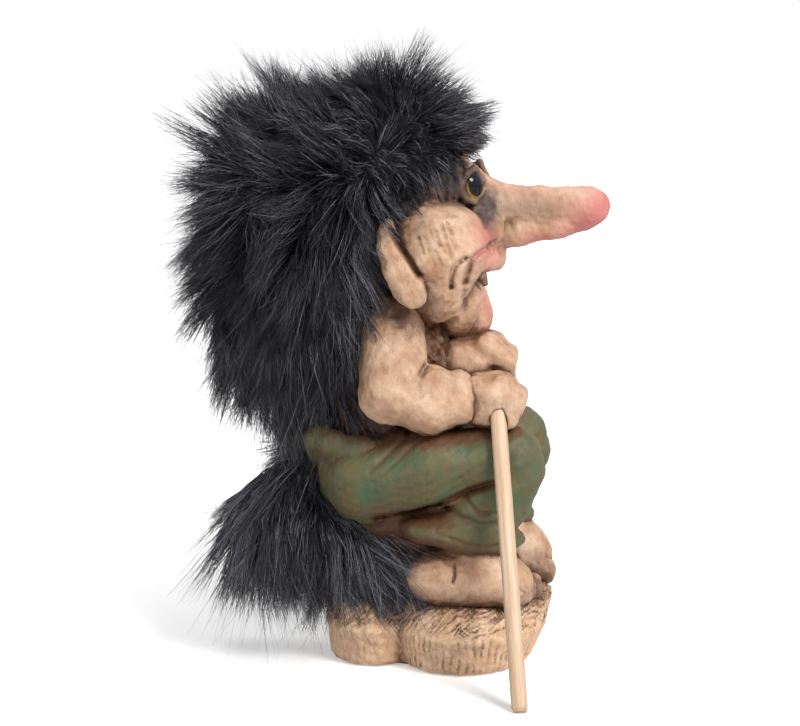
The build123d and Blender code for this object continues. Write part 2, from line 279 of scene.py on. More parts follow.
def torso(points):
    """The trunk, rough like hide under the chin."""
    hide = 0.5 * ripple(points, 3.2, 11) + 0.25 * ripple(points, 1.5, 12)
    return built(mirrored(points), TRUNK) + hide


def chiselled(points, seed):
    """The flat facets and dabs of a modelling tool."""
    dabs = np.abs(ripple(points, 14, seed)) + 0.35 * np.abs(ripple(points, 6, seed + 2))
    return 0.5 * dabs + 0.06 * ripple(points, 2.2, seed + 1) - 0.3


def right_arm(points):
    """The near arm, with a lumpy forearm that ends at the wrist."""
    shape = built(points, RIGHT_ARM)
    for start, end, width, depth in RIGHT_ARM_DENTS:
        shape = shape + dent(along(points, start, end)[1], width, depth)
    return shape + chiselled(points, 21)


def left_arm(points):
    """The far arm, which reaches across to the upper hand."""
    return built(points, LEFT_ARM) + chiselled(points, 22)


def fingered(shape, points, first, gap, joints, blend):
    """A hand with four fingers side by side, each through the same (x, z, radius) joints."""
    for number in range(4):
        across = first + gap * number
        bent = tuple(((x, across, z), radius) for x, z, radius in joints)
        shape = join(shape, path(points, bent, 1), blend)
    return shape


def stick_place(height):
    """A place on the stick's axis, in millimetres up from the socket's mouth."""
    mouth = np.array(STICK_MOUTH)
    axis = mouth - np.array(STICK_FOOT)
    return mouth + axis / np.linalg.norm(axis) * height


def right_fist(points):
    """The lower hand, closed round the stick."""
    shape = oval(points, (14.6, -13.4, 67.6), (8.4, 9.2, 7.2))
    joints = ((17.6, 71.6, 2.8), (20.8, 68.2, 2.6), (19.0, 63.4, 2.4))
    shape = fingered(shape, points, -19.2, 3.9, joints, 1.1)
    thumb = rod(points, (10.5, -18.6, 71.0), (15.8, -21.0, 70.2), 3.2, 2.7)
    wide = STICK_RADIUS + STICK_GAP
    socket = rod(points, stick_place(-8), stick_place(SOCKET_DEPTH), wide, wide)
    return carve(join(shape, thumb, 1.0) + chiselled(points, 31), socket, 0.4)


def left_hand(points):
    """The upper hand, laid over the fist."""
    joints = ((13.0, 80.4, 2.8), (18.0, 76.6, 2.7), (17.6, 72.0, 2.4))
    return fingered(built(points, LEFT_PALM), points, -9.4, 3.8, joints, 1.5) + chiselled(points, 32)


# The trousers and feet

TROUSER_LEG = (
    (0, path, (((-15, 12.5, 47.0), 11.0), ((0, 15.8, 50.6), 9.6), ((19.4, 14.6, 53.4), 8.0)), 3),
    (0.4, path, (((20.6, 14.0, 50.2), 7.6), ((15.6, 15.2, 42.4), 8.0), ((11.0, 15.4, 36.8), 8.0)), 3),
    (0.6, rod, (-12, 8, 37), (8, 9, 38), 6.0, 7.5),
    (2.0, oval, (8.2, 14.8, 34.6), (15.6, 9.4, 4.6), -6),
)
KNEE_FOLD = ((((-13, 38.4), (-4, 40.2), (4, 43.4), (10, 46.4), (16, 48.4)), 0.8, 1.6),)
LEG_FOLDS = (
    (((-14, 51), (-9.5, 55), (-4.5, 60)), 0.55, 0.55), (((-13, 48.5), (-8, 53), (-3, 58)), 0.5, 0.35),
    (((3.0, 42.4), (8.4, 39.6), (13.2, 38.2), (17, 38.6)), 0.9, 0.7),
    (((9.0, 44.8), (12.4, 41.6), (18.4, 41.0)), 0.6, 0.6),
    (((2.0, 36.0), (9, 33.8), (15, 33.0), (20, 33.6)), 0.6, 0.6),
    (((22.6, 57.5), (19.2, 53.5), (19.2, 49.0)), 0.9, 0.3),
)
LEG_FOLDS_FROM = 12
SEAT = ((0, oval, (-15, 0, 47.5), (15.5, 20.5, 14.5)), (3, oval, (-17.6, 0, 55.5), (18.6, 20, 8.4), -6))
WAIST_OPENING = ((-15.5, 0, 60.5), (16.2, 17.6, 8.5), -6)
FOOT = (
    (0, path, (((2.6, 14.4, 22.8), 7.2), ((12, 14.4, 23.4), 7.4), ((19, 14.2, 21.6), 6.6)), 3),
    (3, rod, (10, 13.8, 33), (14, 13.8, 27), 6.6, 6.4),
)
TOES = ((24.0, 8.8, 3.7), (23.6, 12.6, 2.58), (23.0, 15.6, 2.46), (22.2, 18.4, 2.34), (21.0, 20.8, 2.22))
FAR_INSTEP = (((13.6, 14.2, 29.4), 6.2), ((16.0, 14.2, 24.0), 8.0), ((14.4, 14.2, 19.0), 8.2))
FAR_FOOT_CREASE = ((((13.8, 28), (16.2, 23), (15.4, 19.6)), 1.1, 1.6),)
NEAR_BLOCK = ((8.5, 14.4, 22.8), (16.4, 9.6, 6.6))
NEAR_FOOT_CRACK = ((((6.6, 27.6), (6.8, 25.4), (6.4, 23.8)), 0.35, 0.8),)
FAR_FOOT_AHEAD = 3.4


def trouser_leg(points, side):
    """Thigh, knee and calf, with the folds of the cloth."""
    q = points * np.array((1, side, 1), np.float32)
    shape = creased(built(q, TROUSER_LEG), q, KNEE_FOLD)
    shape = creased(shape, q, LEG_FOLDS, LEG_FOLDS_FROM)
    return shape + 0.32 * ripple(points, 9, 41 + side) + 0.08 * ripple(points, 2.6, 43)


def trouser_seat(points):
    """The seat of the trousers, with a waist that stands away from the back."""
    q = mirrored(points)
    shape = carve(built(q, SEAT), oval(q, *WAIST_OPENING), 1.2)
    return shape + 0.4 * ripple(points, 8, 51) + 0.1 * ripple(points, 2.6, 52)


def foot(points, side, ahead):
    """A broad bare foot with toes and nails, set ahead of the other by a distance."""
    q = (points - np.array((ahead, 0, 0), np.float32)) * np.array((1, side, 1), np.float32)
    shape = built(q, FOOT)
    for reach, across, radius in TOES:
        reach -= 0.3 * ahead
        toe = path(q, (((reach - 5, across, 21.6), radius), ((reach, across, 19.6), radius)), 1)
        nail = oval(q, (reach + radius * 0.55, across, 19.9 + radius * 0.62), (1.5, radius * 0.55, 0.7), -32)
        shape = join(join(shape, toe, 0.8), nail, 0.15)
    if ahead:
        shape = creased(join(shape, path(q, FAR_INSTEP, 2), 1.5), q, FAR_FOOT_CREASE)
    else:
        block = keep(oval(q, *NEAR_BLOCK), np.abs(q[:, 0] - 7.6) - 14.6, 1.2)
        heel = -5.4 - q[:, 0] - 0.4 * (q[:, 2] - 23)
        shape = creased(keep(join(shape, block, 1.5), heel, 1.0), q, NEAR_FOOT_CRACK)
    return shape + 0.2 * np.abs(ripple(points, 9, 61 + side)) + 0.06 * ripple(points, 2, 63) - 0.1


# The ground slab

LOBE_FOOT, LOBE_RIM, LOBE_TOP = 0, 9.2, 17.4
HATCH_SPACING, HATCH_DEPTH, HATCH_TILT = 1.75, 0.72, 1.05
SCORES_ROUND, SCORE_DEPTH, REAR_SCORE = 13.5, 0.34, 0.4
SLAB_FOOT = 0.15


def lobe(points, place_x, lengths, widths, lean):
    """One lobe of the ground, by its half lengths and widths at foot, rim and top."""
    levels = (LOBE_FOOT, LOBE_RIM, LOBE_TOP)
    z = points[:, 2]
    half_length = np.interp(z, levels, lengths)
    half_width = np.interp(z, levels, widths)
    x = (points[:, 0] - place_x - lean * (z - LOBE_RIM) / LOBE_RIM) / half_length
    y = points[:, 1] / half_width
    around = (x * x + y * y) ** 0.5
    wall = (around - 1) * np.minimum(half_length, half_width) * 0.86
    return keep(wall, np.abs(z - LOBE_TOP / 2) - LOBE_TOP / 2, 1.8)


GROUND = (
    (0, lobe, 8.5, (16.6, 19.6, 20.4), (23.0, 26.0, 21.6), 1.2),
    (1.2, lobe, -14.6, (11.8, 12.8, 12.4), (16.4, 17.8, 14.0), 0),
    (3, oval, (-8, 0, 25), (15, 13, 15)),
)


def ground_slab(points):
    """Two lobes and a rock, hatched with a knife on the slope and scored round the rim."""
    shape = built(points, GROUND)
    x, y, z = points.T
    warp = 0.5 * ripple(points, 7, 71) + 0.22 * ripple(points, 2.4, 72)
    patches = np.clip(0.55 + 0.6 * ripple(points, 9, 73), 0, 1)
    slope = np.clip((z - 9.6) / 1.6, 0, 1)
    side = np.where(y > 0, 1.0, -1.0)
    hatch_phase = (x + HATCH_TILT * side * y * 0.4 - HATCH_TILT * z) / HATCH_SPACING + warp
    hatch = 0.5 + 0.5 * np.cos(math.tau * hatch_phase)
    shape = shape + slope * (z < 18.5) * HATCH_DEPTH * hatch ** 1.5 * (0.35 + 0.65 * patches)
    score_phase = np.arctan2(y, x - 4) * SCORES_ROUND + 0.35 * warp
    score = np.maximum(0, np.cos(math.tau * score_phase)) ** 3
    score *= np.where(x > -6, 1.0, REAR_SCORE)
    shape = shape + (1 - slope) * (z > 1.2) * SCORE_DEPTH * score * (0.25 + 0.75 * patches)
    return keep(shape + 0.1 * ripple(points, 3, 74), SLAB_FOOT - z, 0.3)


# Each casting's field and the box that it is sampled in
CASTINGS = {
    "head": (head, (-33, -31, 82), (44, 31, 142)),
    "torso": (torso, (-33, -27, 43), (16, 27, 96)),
    "right_arm": (right_arm, (-20, -33, 58), (15, -6, 95)),
    "left_arm": (left_arm, (-20, 4, 58), (15, 33, 95)),
    "right_fist": (right_fist, (4, -26, 57), (26, -1, 77)),
    "left_hand": (left_hand, (-2, -15, 62), (24, 12, 87)),
    "right_trouser_leg": (lambda p: trouser_leg(p, -1), (-28, -28, 26), (31, 0, 65)),
    "left_trouser_leg": (lambda p: trouser_leg(p, 1), (-28, 0, 26), (31, 28, 65)),
    "trouser_seat": (trouser_seat, (-39, -24, 31), (4, 24, 67)),
    "right_foot": (lambda p: foot(p, -1, 0.0), (-7, -25, 12), (30, -3, 41)),
    "left_foot": (lambda p: foot(p, 1, FAR_FOOT_AHEAD), (-4, 3, 12), (34, 25, 41)),
    "ground_slab": (ground_slab, (-30, -29, -1), (31, 29, 41)),
}


def nearest_casting(points, reach):
    """Distance to the nearest painted casting, up to a reach."""
    nearest = np.full(len(points), reach, np.float32)
    for shape, low, high in CASTINGS.values():
        close = np.all((points > np.array(low) - reach) & (points < np.array(high) + reach), axis=1)
        if close.any():
            nearest[close] = np.minimum(nearest[close], shape(points[close]))
    return nearest


# From fields to meshes

CORNERS = np.array([(i, j, k) for i in (0, 1) for j in (0, 1) for k in (0, 1)])
CELL_EDGES = [
    (a, b) for a in range(8) for b in range(a + 1, 8) if np.abs(CORNERS[a] - CORNERS[b]).sum() == 1
]
BLOCK = 4
BLOCK_MARGIN = 1.2
CHUNK = 300_000


def in_chunks(shape, points):
    """A field's values at many points, a chunk at a time."""
    starts = range(0, len(points), CHUNK)
    return np.concatenate([shape(points[at:at + CHUNK]).astype(np.float32) for at in starts])


def sampled(shape, low, step, counts):
    """The field on a grid. Blocks that are far from the surface keep their middle's value."""
    blocks = np.indices(counts // BLOCK).reshape(3, -1).T
    middles = (low + (blocks * BLOCK + (BLOCK - 1) / 2) * step).astype(np.float32)
    grid = in_chunks(shape, middles).reshape(counts // BLOCK)
    for axis in range(3):
        grid = np.repeat(grid, BLOCK, axis=axis)
    near = np.abs(grid) < BLOCK * step * 1.25 + BLOCK_MARGIN
    grid[near] = in_chunks(shape, (low + np.argwhere(near) * step).astype(np.float32))
    return grid


def slopes(shape, points, step=0.12):
    """The field's unit gradient at points near its surface."""
    parts = []
    for axis in range(3):
        shift = np.zeros(3, np.float32)
        shift[axis] = step
        parts.append(in_chunks(shape, points + shift) - in_chunks(shape, points - shift))
    gradient = np.stack(parts, axis=1)
    return gradient / np.maximum(np.linalg.norm(gradient, axis=1, keepdims=True), 1e-6)


def skinned(shape, low, high, step):
    """A closed surface of four-sided faces over a field, with its outward normals."""
    low = np.array(low, np.float64)
    counts = np.ceil((np.array(high) - low) / step / BLOCK).astype(int) * BLOCK + BLOCK
    grid = sampled(shape, low, step, counts)
    inside = grid < 0

    def shifted(corner):
        return inside[tuple(slice(c, c + n - 1) for c, n in zip(corner, counts))]

    # One point in each cell that the surface crosses, at the mean of its edges' crossings
    filled = sum(shifted(corner).astype(np.int8) for corner in CORNERS)
    mixed = (filled > 0) & (filled < len(CORNERS))
    places = np.argwhere(mixed)
    values = np.stack([grid[tuple((places + corner).T)] for corner in CORNERS], axis=1)
    total = np.zeros((len(places), 3))
    crossings = np.zeros(len(places))
    for a, b in CELL_EDGES:
        cross = (values[:, a] < 0) != (values[:, b] < 0)
        gap = np.where(cross, values[:, a] - values[:, b], 1)
        share = (values[:, a] / gap)[:, None]
        total += np.where(cross[:, None], CORNERS[a] + share * (CORNERS[b] - CORNERS[a]), 0)
        crossings += cross
    points = (low + (places + total / crossings[:, None]) * step).astype(np.float32)

    # One face round each grid edge that the surface crosses
    number = np.full(mixed.shape, -1)
    number[mixed] = np.arange(len(places))
    units = np.eye(3, dtype=int)
    here = shifted((0, 0, 0))
    faces = []
    for axis in range(3):
        ahead, u, v = (units[(axis + turn) % 3] for turn in range(3))
        edges = np.argwhere(here != shifted(ahead))
        edges = edges[np.all(edges - u - v >= 0, axis=1)]
        ring = [number[tuple((edges - shift).T)] for shift in (u + v, v, 0 * u, u)]
        ring = np.stack(ring, axis=1)
        outward = here[tuple(edges.T)]
        faces.append(np.where(outward[:, None], ring, ring[:, ::-1]))

    # The points are drawn on to the surface, in two pulls
    for _ in range(2):
        normals = slopes(shape, points)
        pull = np.clip(in_chunks(shape, points), -step, step)
        points = points - normals * pull[:, None] * 0.9
    return points, np.concatenate(faces).tolist(), normals


def ring_faces(around, rows):
    """Four-sided faces between rings of points, one ring after the other."""
    steps = [(step, (step + 1) % around) for step in range(around)]
    return [
        (row * around + here, row * around + after, (row + 1) * around + after, (row + 1) * around + here)
        for row in range(rows) for here, after in steps
    ]


def new_piece(name, points, faces, material, body=FIGURE):
    """A smooth-shaded mesh object from points in millimetres, riding on a body."""
    mesh = bpy.data.meshes.new(name)
    mesh.from_pydata((np.asarray(points, np.float64) * MM).tolist(), [], list(faces))
    mesh.update()
    mesh.shade_smooth()
    mesh.materials.append(material)
    piece = bpy.data.objects.new(name, mesh)
    bpy.context.scene.collection.objects.link(piece)
    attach(piece, body)
    return piece


def set_attribute(mesh, name, values):
    """A number or vector for each point of a mesh, for a material or a node tree to read."""
    kind, key = ("FLOAT", "value") if values.ndim == 1 else ("FLOAT_VECTOR", "vector")
    mesh.attributes.new(name, kind, "POINT").data.foreach_set(key, values.astype(np.float32).ravel())


# Where paint lies. A row is a spot's strength, its place and its radii, on both sides of the middle.

BLUSH = (
    (0.88, (11.8, 14, 106.6), (5.2, 8.5, 6)), (0.5, (13, 5, 101.5), (6, 8, 5)),
    (0.6, (14, 5, 89), (3.2, 8, 7)), (0.85, (27, 0, 105.8), (11, 6, 3.4)), (0.3, (26, 0, 118.5), (15, 7, 5)),
)
SOOT = (
    (1.5, (5, 12, 121.5), (10, 10, 8)), (1.4, (12.6, 7, 113.4), (4, 6, 6.5)),
    (0.5, (20, 5, 114.4), (13, 4.5, 3.6)),
)
# Brown wash by the ear and mouth, and painted shade under the jaw, arms, thighs and tail, and on the slab round
# the feet
SHADE_AND_WASH_SPOTS = (
    (0.9, (-4, 22, 109), (7, 8, 5)), (1.3, (-4, 18, 88), (10, 12, 6)), (0.5, (-2, 20, 93), (7, 9, 5)),
    (0.8, (9, 9, 97), (5, 6, 4)), (0.9, (8.6, 8.6, 89), (3.2, 5, 7)), (1.2, (-8, 20, 60), (18, 12, 4.5)),
    (1.0, (10, 16, 60), (14, 8, 3.5)), (0.8, (-6, 24, 40), (14, 12, 4)), (0.7, (6, 20, 33), (14, 10, 3)),
    (0.7, (-18, 15, 88), (8, 10, 8)), (1.0, (8, 12, 18.5), (28, 26, 3.8)), (0.8, (1.5, 10, 80), (5, 7, 9)),
    (1.0, (24, 6, 20), (6, 8, 6)), (0.4, (-14, 12, 18), (14, 12, 6)), (1.8, (-8, 12, 28), (12, 10, 9)),
)
# How far out from the surface a crease is looked for, in millimetres, and what it adds to the brown wash and
# painted shade
CREASE_REACHES = ((0.5, 0.75), (1.4, 0.85), (4.0, 0.8))
TIP_START, TIP_FADE, NOSE_START = 28.5, 10, 20
TORSO_COARSER = 1.2


def hidden_share(points, normals):
    """How deep in a crease or between castings each point lies, from 0 to about 1: brown wash and painted shade
    gather there.
    """
    total = 0
    for reach, weight in CREASE_REACHES:
        open_way = nearest_casting(points + normals * reach, 2 * reach)
        total = total + weight * np.clip(1 - open_way / reach, 0, 1.4)
    return total


def spots(points, rows):
    """How strongly each spot covers each point, fading to 0 at the spot's edge."""
    q = mirrored(points)
    far = [np.linalg.norm((q - np.array(place)) / np.array(radii), axis=1) for _, place, radii in rows]
    return [row[0] * np.clip(1.3 - off, 0, 1) for row, off in zip(rows, far)]


def blush(points):
    """Where the pink paint lies: cheeks, tip of the nose, lips and chin."""
    x, _, z = points.T
    tip = np.clip((x - TIP_START + 0.8 * (112 - z)) / TIP_FADE, 0, 1) * (x > NOSE_START)
    return np.max(spots(points, BLUSH) + [tip], axis=0)


def casting(name, material, coarser=1.0):
    """One painted casting, skinned from its field, with what its paint reads."""
    shape, low, high = CASTINGS[name]
    points, faces, normals = skinned(shape, low, high, casting_step() * coarser)
    piece = new_piece(name + "_cast", points, faces, material)
    # The wash attribute holds brown wash and painted shade: darker in creases, between castings and under parts
    set_attribute(piece.data, "wash", hidden_share(points, normals) + sum(spots(points, SHADE_AND_WASH_SPOTS)))
    if name == "head":
        set_attribute(piece.data, "blush", blush(points))
        set_attribute(piece.data, "soot", np.max(spots(points, SOOT), axis=0))
    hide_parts(name)


# Node trees

class Field:
    """A node's output, so that sums on it are written as Python expressions."""

    def __init__(self, nodes, socket):
        self.nodes = nodes
        self.socket = socket

    def other(self, name):
        """Another output of the same node."""
        return Field(self.nodes, self.socket.node.outputs[name])

    def __add__(self, other):
        return self.nodes.sum("ADD", self, other)

    def __sub__(self, other):
        return self.nodes.sum("SUBTRACT", self, other)

    def __rsub__(self, other):
        return self.nodes.sum("SUBTRACT", other, self)

    def __mul__(self, other):
        return self.nodes.sum("MULTIPLY", self, other)

    def __pow__(self, other):
        return self.nodes.sum("POWER", self, other)

    __radd__ = __add__
    __rmul__ = __mul__


def is_vector(value):
    """Whether a sum on this value is one on vectors."""
    return isinstance(value, tuple) or isinstance(value, Field) and value.socket.type == "VECTOR"


class Nodes:
    """A node tree that is built by one method for any node and by sums on their outputs."""

    def __init__(self, tree):
        self.tree = tree

    def add(self, kind, settings=None, sockets=None, output=0):
        """Adds a node: its settings, then the values or links of its sockets. Gives one output."""
        node = self.tree.nodes.new(kind)
        for key, value in (settings or {}).items():
            if key == "stops":
                ramp = node.color_ramp
                while len(ramp.elements) < len(value):
                    ramp.elements.new(0.5)
                for element, (position, colour) in zip(ramp.elements, value):
                    element.position = position
                    element.color = colour
            else:
                setattr(node, key, value)
        for key, value in (sockets or {}).items():
            if isinstance(value, Field):
                self.tree.links.new(value.socket, node.inputs[key])
            else:
                node.inputs[key].default_value = value
        return Field(self, node.outputs[output]) if len(node.outputs) else None

    def sum(self, operation, *values):
        """One sum on numbers or on vectors."""
        if not any(is_vector(value) for value in values):
            return self.add("ShaderNodeMath", {"operation": operation}, dict(enumerate(values)))
        if operation == "MULTIPLY" and not all(is_vector(value) for value in values):
            vector, number = sorted(values, key=is_vector, reverse=True)
            return self.add("ShaderNodeVectorMath", {"operation": "SCALE"}, {0: vector, "Scale": number})
        return self.add("ShaderNodeVectorMath", {"operation": operation}, dict(enumerate(values)))

    def length(self, vector):
        """A vector's length."""
        return self.add("ShaderNodeVectorMath", {"operation": "LENGTH"}, {0: vector}, "Value")

    def clamped(self, value, low=0.0, high=1.0):
        """A number, spread so that low becomes 0 and high becomes 1, and held there."""
        return self.add("ShaderNodeMapRange", None, {0: value, 1: low, 2: high})

    def mix(self, share, first, second):
        """Two colours, mixed."""
        return self.add("ShaderNodeMix", {"data_type": "RGBA"}, {0: share, 6: first, 7: second}, 2)


class Finish(Nodes):
    """A material: patterns on object coordinates, in cycles a millimetre, and one shader."""

    def __init__(self, name):
        self.material = bpy.data.materials.new(name)
        self.material.use_nodes = True
        super().__init__(self.material.node_tree)
        self.tree.nodes.clear()
        self.place = self.add("ShaderNodeTexCoord", None, None, "Object") * (1 / MM)

    def noise(self, scale, detail=3.0, stretch=None, roughness=0.55, place=None):
        """A cloudy pattern, from 0 to 1."""
        place = place or self.place
        if stretch:
            place = place * stretch
        sockets = {"Vector": place, "Scale": scale, "Detail": detail, "Roughness": roughness}
        return self.add("ShaderNodeTexNoise", None, sockets)

    def attribute(self, name):
        """A number that the mesh carries for each point."""
        return self.add("ShaderNodeAttribute", {"attribute_name": name}, None, "Fac")

    def finished(self, sockets, bump=None, depth=0.1):
        """Adds the shader, with a bump of a depth in millimetres, and gives the material."""
        if bump is not None:
            raised = {"Strength": 1.0, "Distance": depth * MM, "Height": bump}
            sockets = {**sockets, "Normal": self.add("ShaderNodeBump", None, raised)}
        return self.surfaced(self.add("ShaderNodeBsdfPrincipled", None, sockets))

    def surfaced(self, shader):
        """Ends the tree with a shader and gives the material."""
        self.add("ShaderNodeOutputMaterial", None, {"Surface": shader})
        return self.material


# Sizes and colours

def colour_property(name, description, value):
    """A colour that the panel shows."""
    return bpy.props.FloatVectorProperty(
        name=name, description=description, default=(*value, 1.0), size=4, subtype="COLOR", min=0, max=1
    )


def length_property(name, description, value, least):
    """A length in metres that the panel shows."""
    return bpy.props.FloatProperty(name=name, description=description, default=value, unit="LENGTH", min=least)


def share_property(name, description, value):
    """A share from 0 to 1 that the panel shows."""
    return bpy.props.FloatProperty(
        name=name, description=description, default=value, subtype="FACTOR", min=0, max=1
    )


def density_property(name, description, value):
    """A number of fibres on a square millimetre that the panel shows."""
    return bpy.props.FloatProperty(name=name, description=description, default=value, subtype="NONE", min=0.1)


class PaintColours(bpy.types.PropertyGroup):
    """The colours of paint, wood, felt, fur and glass"""

    skin: colour_property("Skin", "Tan paint of the skin", (0.45, 0.235, 0.125))
    skin_light: colour_property("Light skin", "Paint brushed over the raised skin", (0.84, 0.59, 0.41))
    # The wash colour is also the colour of the painted shade in creases, between castings and under parts, and of
    # the dark specks
    wash: colour_property("Wash", "Brown wash that gathers in the creases", (0.115, 0.046, 0.020))
    blush: colour_property("Blush", "Pink of cheeks, nose and lips", (0.61, 0.20, 0.175))
    soot: colour_property("Soot", "Dark paint round the eyes", (0.085, 0.048, 0.036))
    hide: colour_property("Hide", "Dark paint of the trunk", (0.10, 0.042, 0.020))
    hide_light: colour_property("Light hide", "Paint brushed over the raised hide", (0.30, 0.155, 0.080))
    trousers: colour_property("Trousers", "Olive paint of the trousers", (0.128, 0.102, 0.036))
    trousers_light: colour_property("Sea green", "Green brushed over the raised cloth", (0.058, 0.112, 0.052))
    ground: colour_property("Ground", "Paint of the ground slab", (0.80, 0.49, 0.295))
    ground_light: colour_property("Light ground", "Paint brushed over the raised ground", (0.98, 0.70, 0.46))
    wood: colour_property("Wood", "Pale wood of the stick", (0.82, 0.62, 0.44))
    wood_dark: colour_property("Wood grain", "Darker grain of the stick", (0.58, 0.34, 0.19))
    felt: colour_property("Felt", "Felt pad below the slab", (0.05, 0.075, 0.04))
    felt_light: colour_property("Light felt", "Lighter fibres of the felt pad", (0.10, 0.14, 0.08))
    steel: colour_property("Steel", "Wires of the eyes", (0.5, 0.5, 0.5))
    # The tooth's cream paint is darkened to brown as painted shade inside the mouth
    tooth: colour_property("Tooth", "Yellowed paint of the tooth", (0.30, 0.18, 0.11))
    tooth_dark: colour_property("Tooth stain", "Stains of the tooth", (0.08, 0.04, 0.025))
    coat_dark: colour_property("Dark undercoat", "Shade between the fibres", (0.003, 0.003, 0.004))
    coat_light: colour_property("Light undercoat", "Tufts between the fibres", (0.014, 0.013, 0.016))
    fur_dark: colour_property("Dark fur", "Darkest fibres", (0.003, 0.003, 0.0045))
    # The lightest fibres are grey hairs and painted sheen on the black fur
    fur_light_and_sheen: colour_property("Light fur", "Lightest fibres", (0.30, 0.295, 0.34))
    pupil: colour_property("Pupil", "Dark middle and edge of the glass eye", (0.004, 0.004, 0.006))
    iris_edge: colour_property("Iris edge", "Brown edges of the amber ring", (0.10, 0.045, 0.008))
    amber: colour_property("Iris", "Amber ring of the glass eye", (0.62, 0.36, 0.05))


class FurSizes(bpy.types.PropertyGroup):
    """The fibres' sizes and how they lie"""

    width: length_property("Fibre width", "Width of a fibre at its root", 0.00017, 0.00005)
    clump: length_property("Clump size", "Distance between the clumps' middles", 0.0042, 0.001)
    gathering: share_property("Gathering", "How far fibres lean to their clump's middle", 0.52)
    spread: share_property("Spread", "How far the clumps' directions differ", 0.32)
    wig_density: density_property("Wig density", "Fibres on a square millimetre of the wig", 4.55)
    tail_density: density_property("Tail density", "Fibres on a square millimetre of the tail", 4.3)


class CastingSizes(bpy.types.PropertyGroup):
    """The castings' detail"""

    grain: length_property("Detail", "Distance between the points of a casting", 0.00048, 0.0002)


def paint_colours():
    """The colours as they are set in the scene."""
    return bpy.context.scene.troll_paint


def casting_step():
    return bpy.context.scene.troll_casting.grain / MM * 1


# Finishes. Patterns are in cycles a millimetre.

BLOTCHES, DABS, GRIT = 0.16, 0.62, 2.4
DAB_STRETCH = (1.5, 1.0, 0.75)
PAINT_RELIEF = 0.2


def painted(name, base, light, wash=1.0, cover=(0.36, 0.66), tints=()):
    """Painted casting: mottled, lighter where it stands out, with brown wash and painted shade in its creases and
    between castings.
    """
    paint = Finish(name)
    blotches = paint.noise(BLOTCHES)
    dabs = paint.noise(DABS, 5.0, DAB_STRETCH, 0.62)
    grit = paint.noise(GRIT)
    raised = paint.clamped(blotches * 0.6 + dabs * 0.4, *cover)
    colour = paint.mix(raised, base, light)
    # Brown wash and painted shade, from the mesh's wash attribute with the dabs and grit
    antiquing_and_shade_depth = paint.attribute("wash") * 0.42 * wash + dabs * 0.75 + grit * 0.3
    antiquing_and_shade_cover = paint.clamped(antiquing_and_shade_depth, 0.55, 1.18) * 0.92
    colour = paint.mix(antiquing_and_shade_cover, colour, paint_colours().wash)
    for attribute, tint, strength in tints:
        share = paint.clamped(paint.attribute(attribute) * strength * (dabs * 0.8 + 0.6))
        colour = paint.mix(share, colour, tint)
    specks = paint.clamped(grit, 0.66, 0.80) * 0.30
    colour = paint.mix(specks, colour, paint_colours().wash)
    roughness = paint.clamped(dabs, 0.1, 0.9) * 0.22 + 0.44
    return paint.finished({"Base Color": colour, "Roughness": roughness}, grit * 0.5 + dabs, PAINT_RELIEF)


def skin_finish(name):
    """Tan skin with pink and sooty patches where the mesh says so."""
    colours = paint_colours()
    tints = (("blush", colours.blush, 1.0), ("soot", colours.soot, 0.9))
    return painted(name, colours.skin, colours.skin_light, tints=tints)


def hide_finish():
    """The dark, rough skin of the trunk, all but covered with brown wash and painted shade."""
    colours = paint_colours()
    return painted("hide_paint", colours.hide, colours.hide_light, 0.8)


def trouser_finish():
    """Olive cloth paint with sea-green brushed over it."""
    colours = paint_colours()
    return painted("trouser_paint", colours.trousers, colours.trousers_light, 1.4, (0.40, 0.64))


def ground_finish():
    """Sandy paint of the ground, with little wash and painted shade."""
    colours = paint_colours()
    return painted("ground_paint", colours.ground, colours.ground_light, 0.62)


def wood_finish():
    """Pale split wood, with grain along the stick."""
    wood, colours = Finish("stick_wood"), paint_colours()
    axis = np.array(STICK_MOUTH) - np.array(STICK_FOOT)
    axis = tuple(axis / np.linalg.norm(axis))
    upward = wood.add("ShaderNodeCombineXYZ", None, dict(enumerate(axis)))
    height = wood.add("ShaderNodeVectorMath", {"operation": "DOT_PRODUCT"}, {0: wood.place, 1: axis}, "Value")
    lengthwise = upward * height
    flow = wood.place - lengthwise + lengthwise * 0.035
    grain = wood.noise(1.6, 5.0, None, 0.6, flow)
    pores = wood.noise(6.0, 2.0, None, 0.5, flow)
    colour = wood.mix(wood.clamped(grain, 0.35, 0.72), colours.wood, colours.wood_dark)
    colour = wood.mix(wood.clamped(pores, 0.62, 0.8) * 0.35, colour, colours.wood_dark)
    return wood.finished({"Base Color": colour, "Roughness": grain * 0.2 + 0.42}, pores + grain, 0.05)


def felt_finish():
    """Green felt."""
    felt = Finish("felt_cloth")
    fibres = felt.noise(3.0, 4.0)
    colour = felt.mix(fibres, paint_colours().felt, paint_colours().felt_light)
    return felt.finished({"Base Color": colour, "Roughness": 0.95}, fibres, 0.2)


def steel_finish():
    """Dull steel wire."""
    steel = Finish("eye_wire_steel")
    roughness = steel.noise(2.0, 2.0) * 0.3 + 0.25
    return steel.finished({"Base Color": paint_colours().steel, "Metallic": 1.0, "Roughness": roughness})


def tooth_finish():
    """Tooth paint, darkened to brown as painted shade inside the mouth, with darker stains."""
    tooth = Finish("tooth_paint")
    marks = tooth.noise(0.9, 4.0)
    colour = tooth.mix(tooth.clamped(marks, 0.3, 0.7), paint_colours().tooth, paint_colours().tooth_dark)
    return tooth.finished({"Base Color": colour, "Roughness": 0.45}, marks, 0.1)


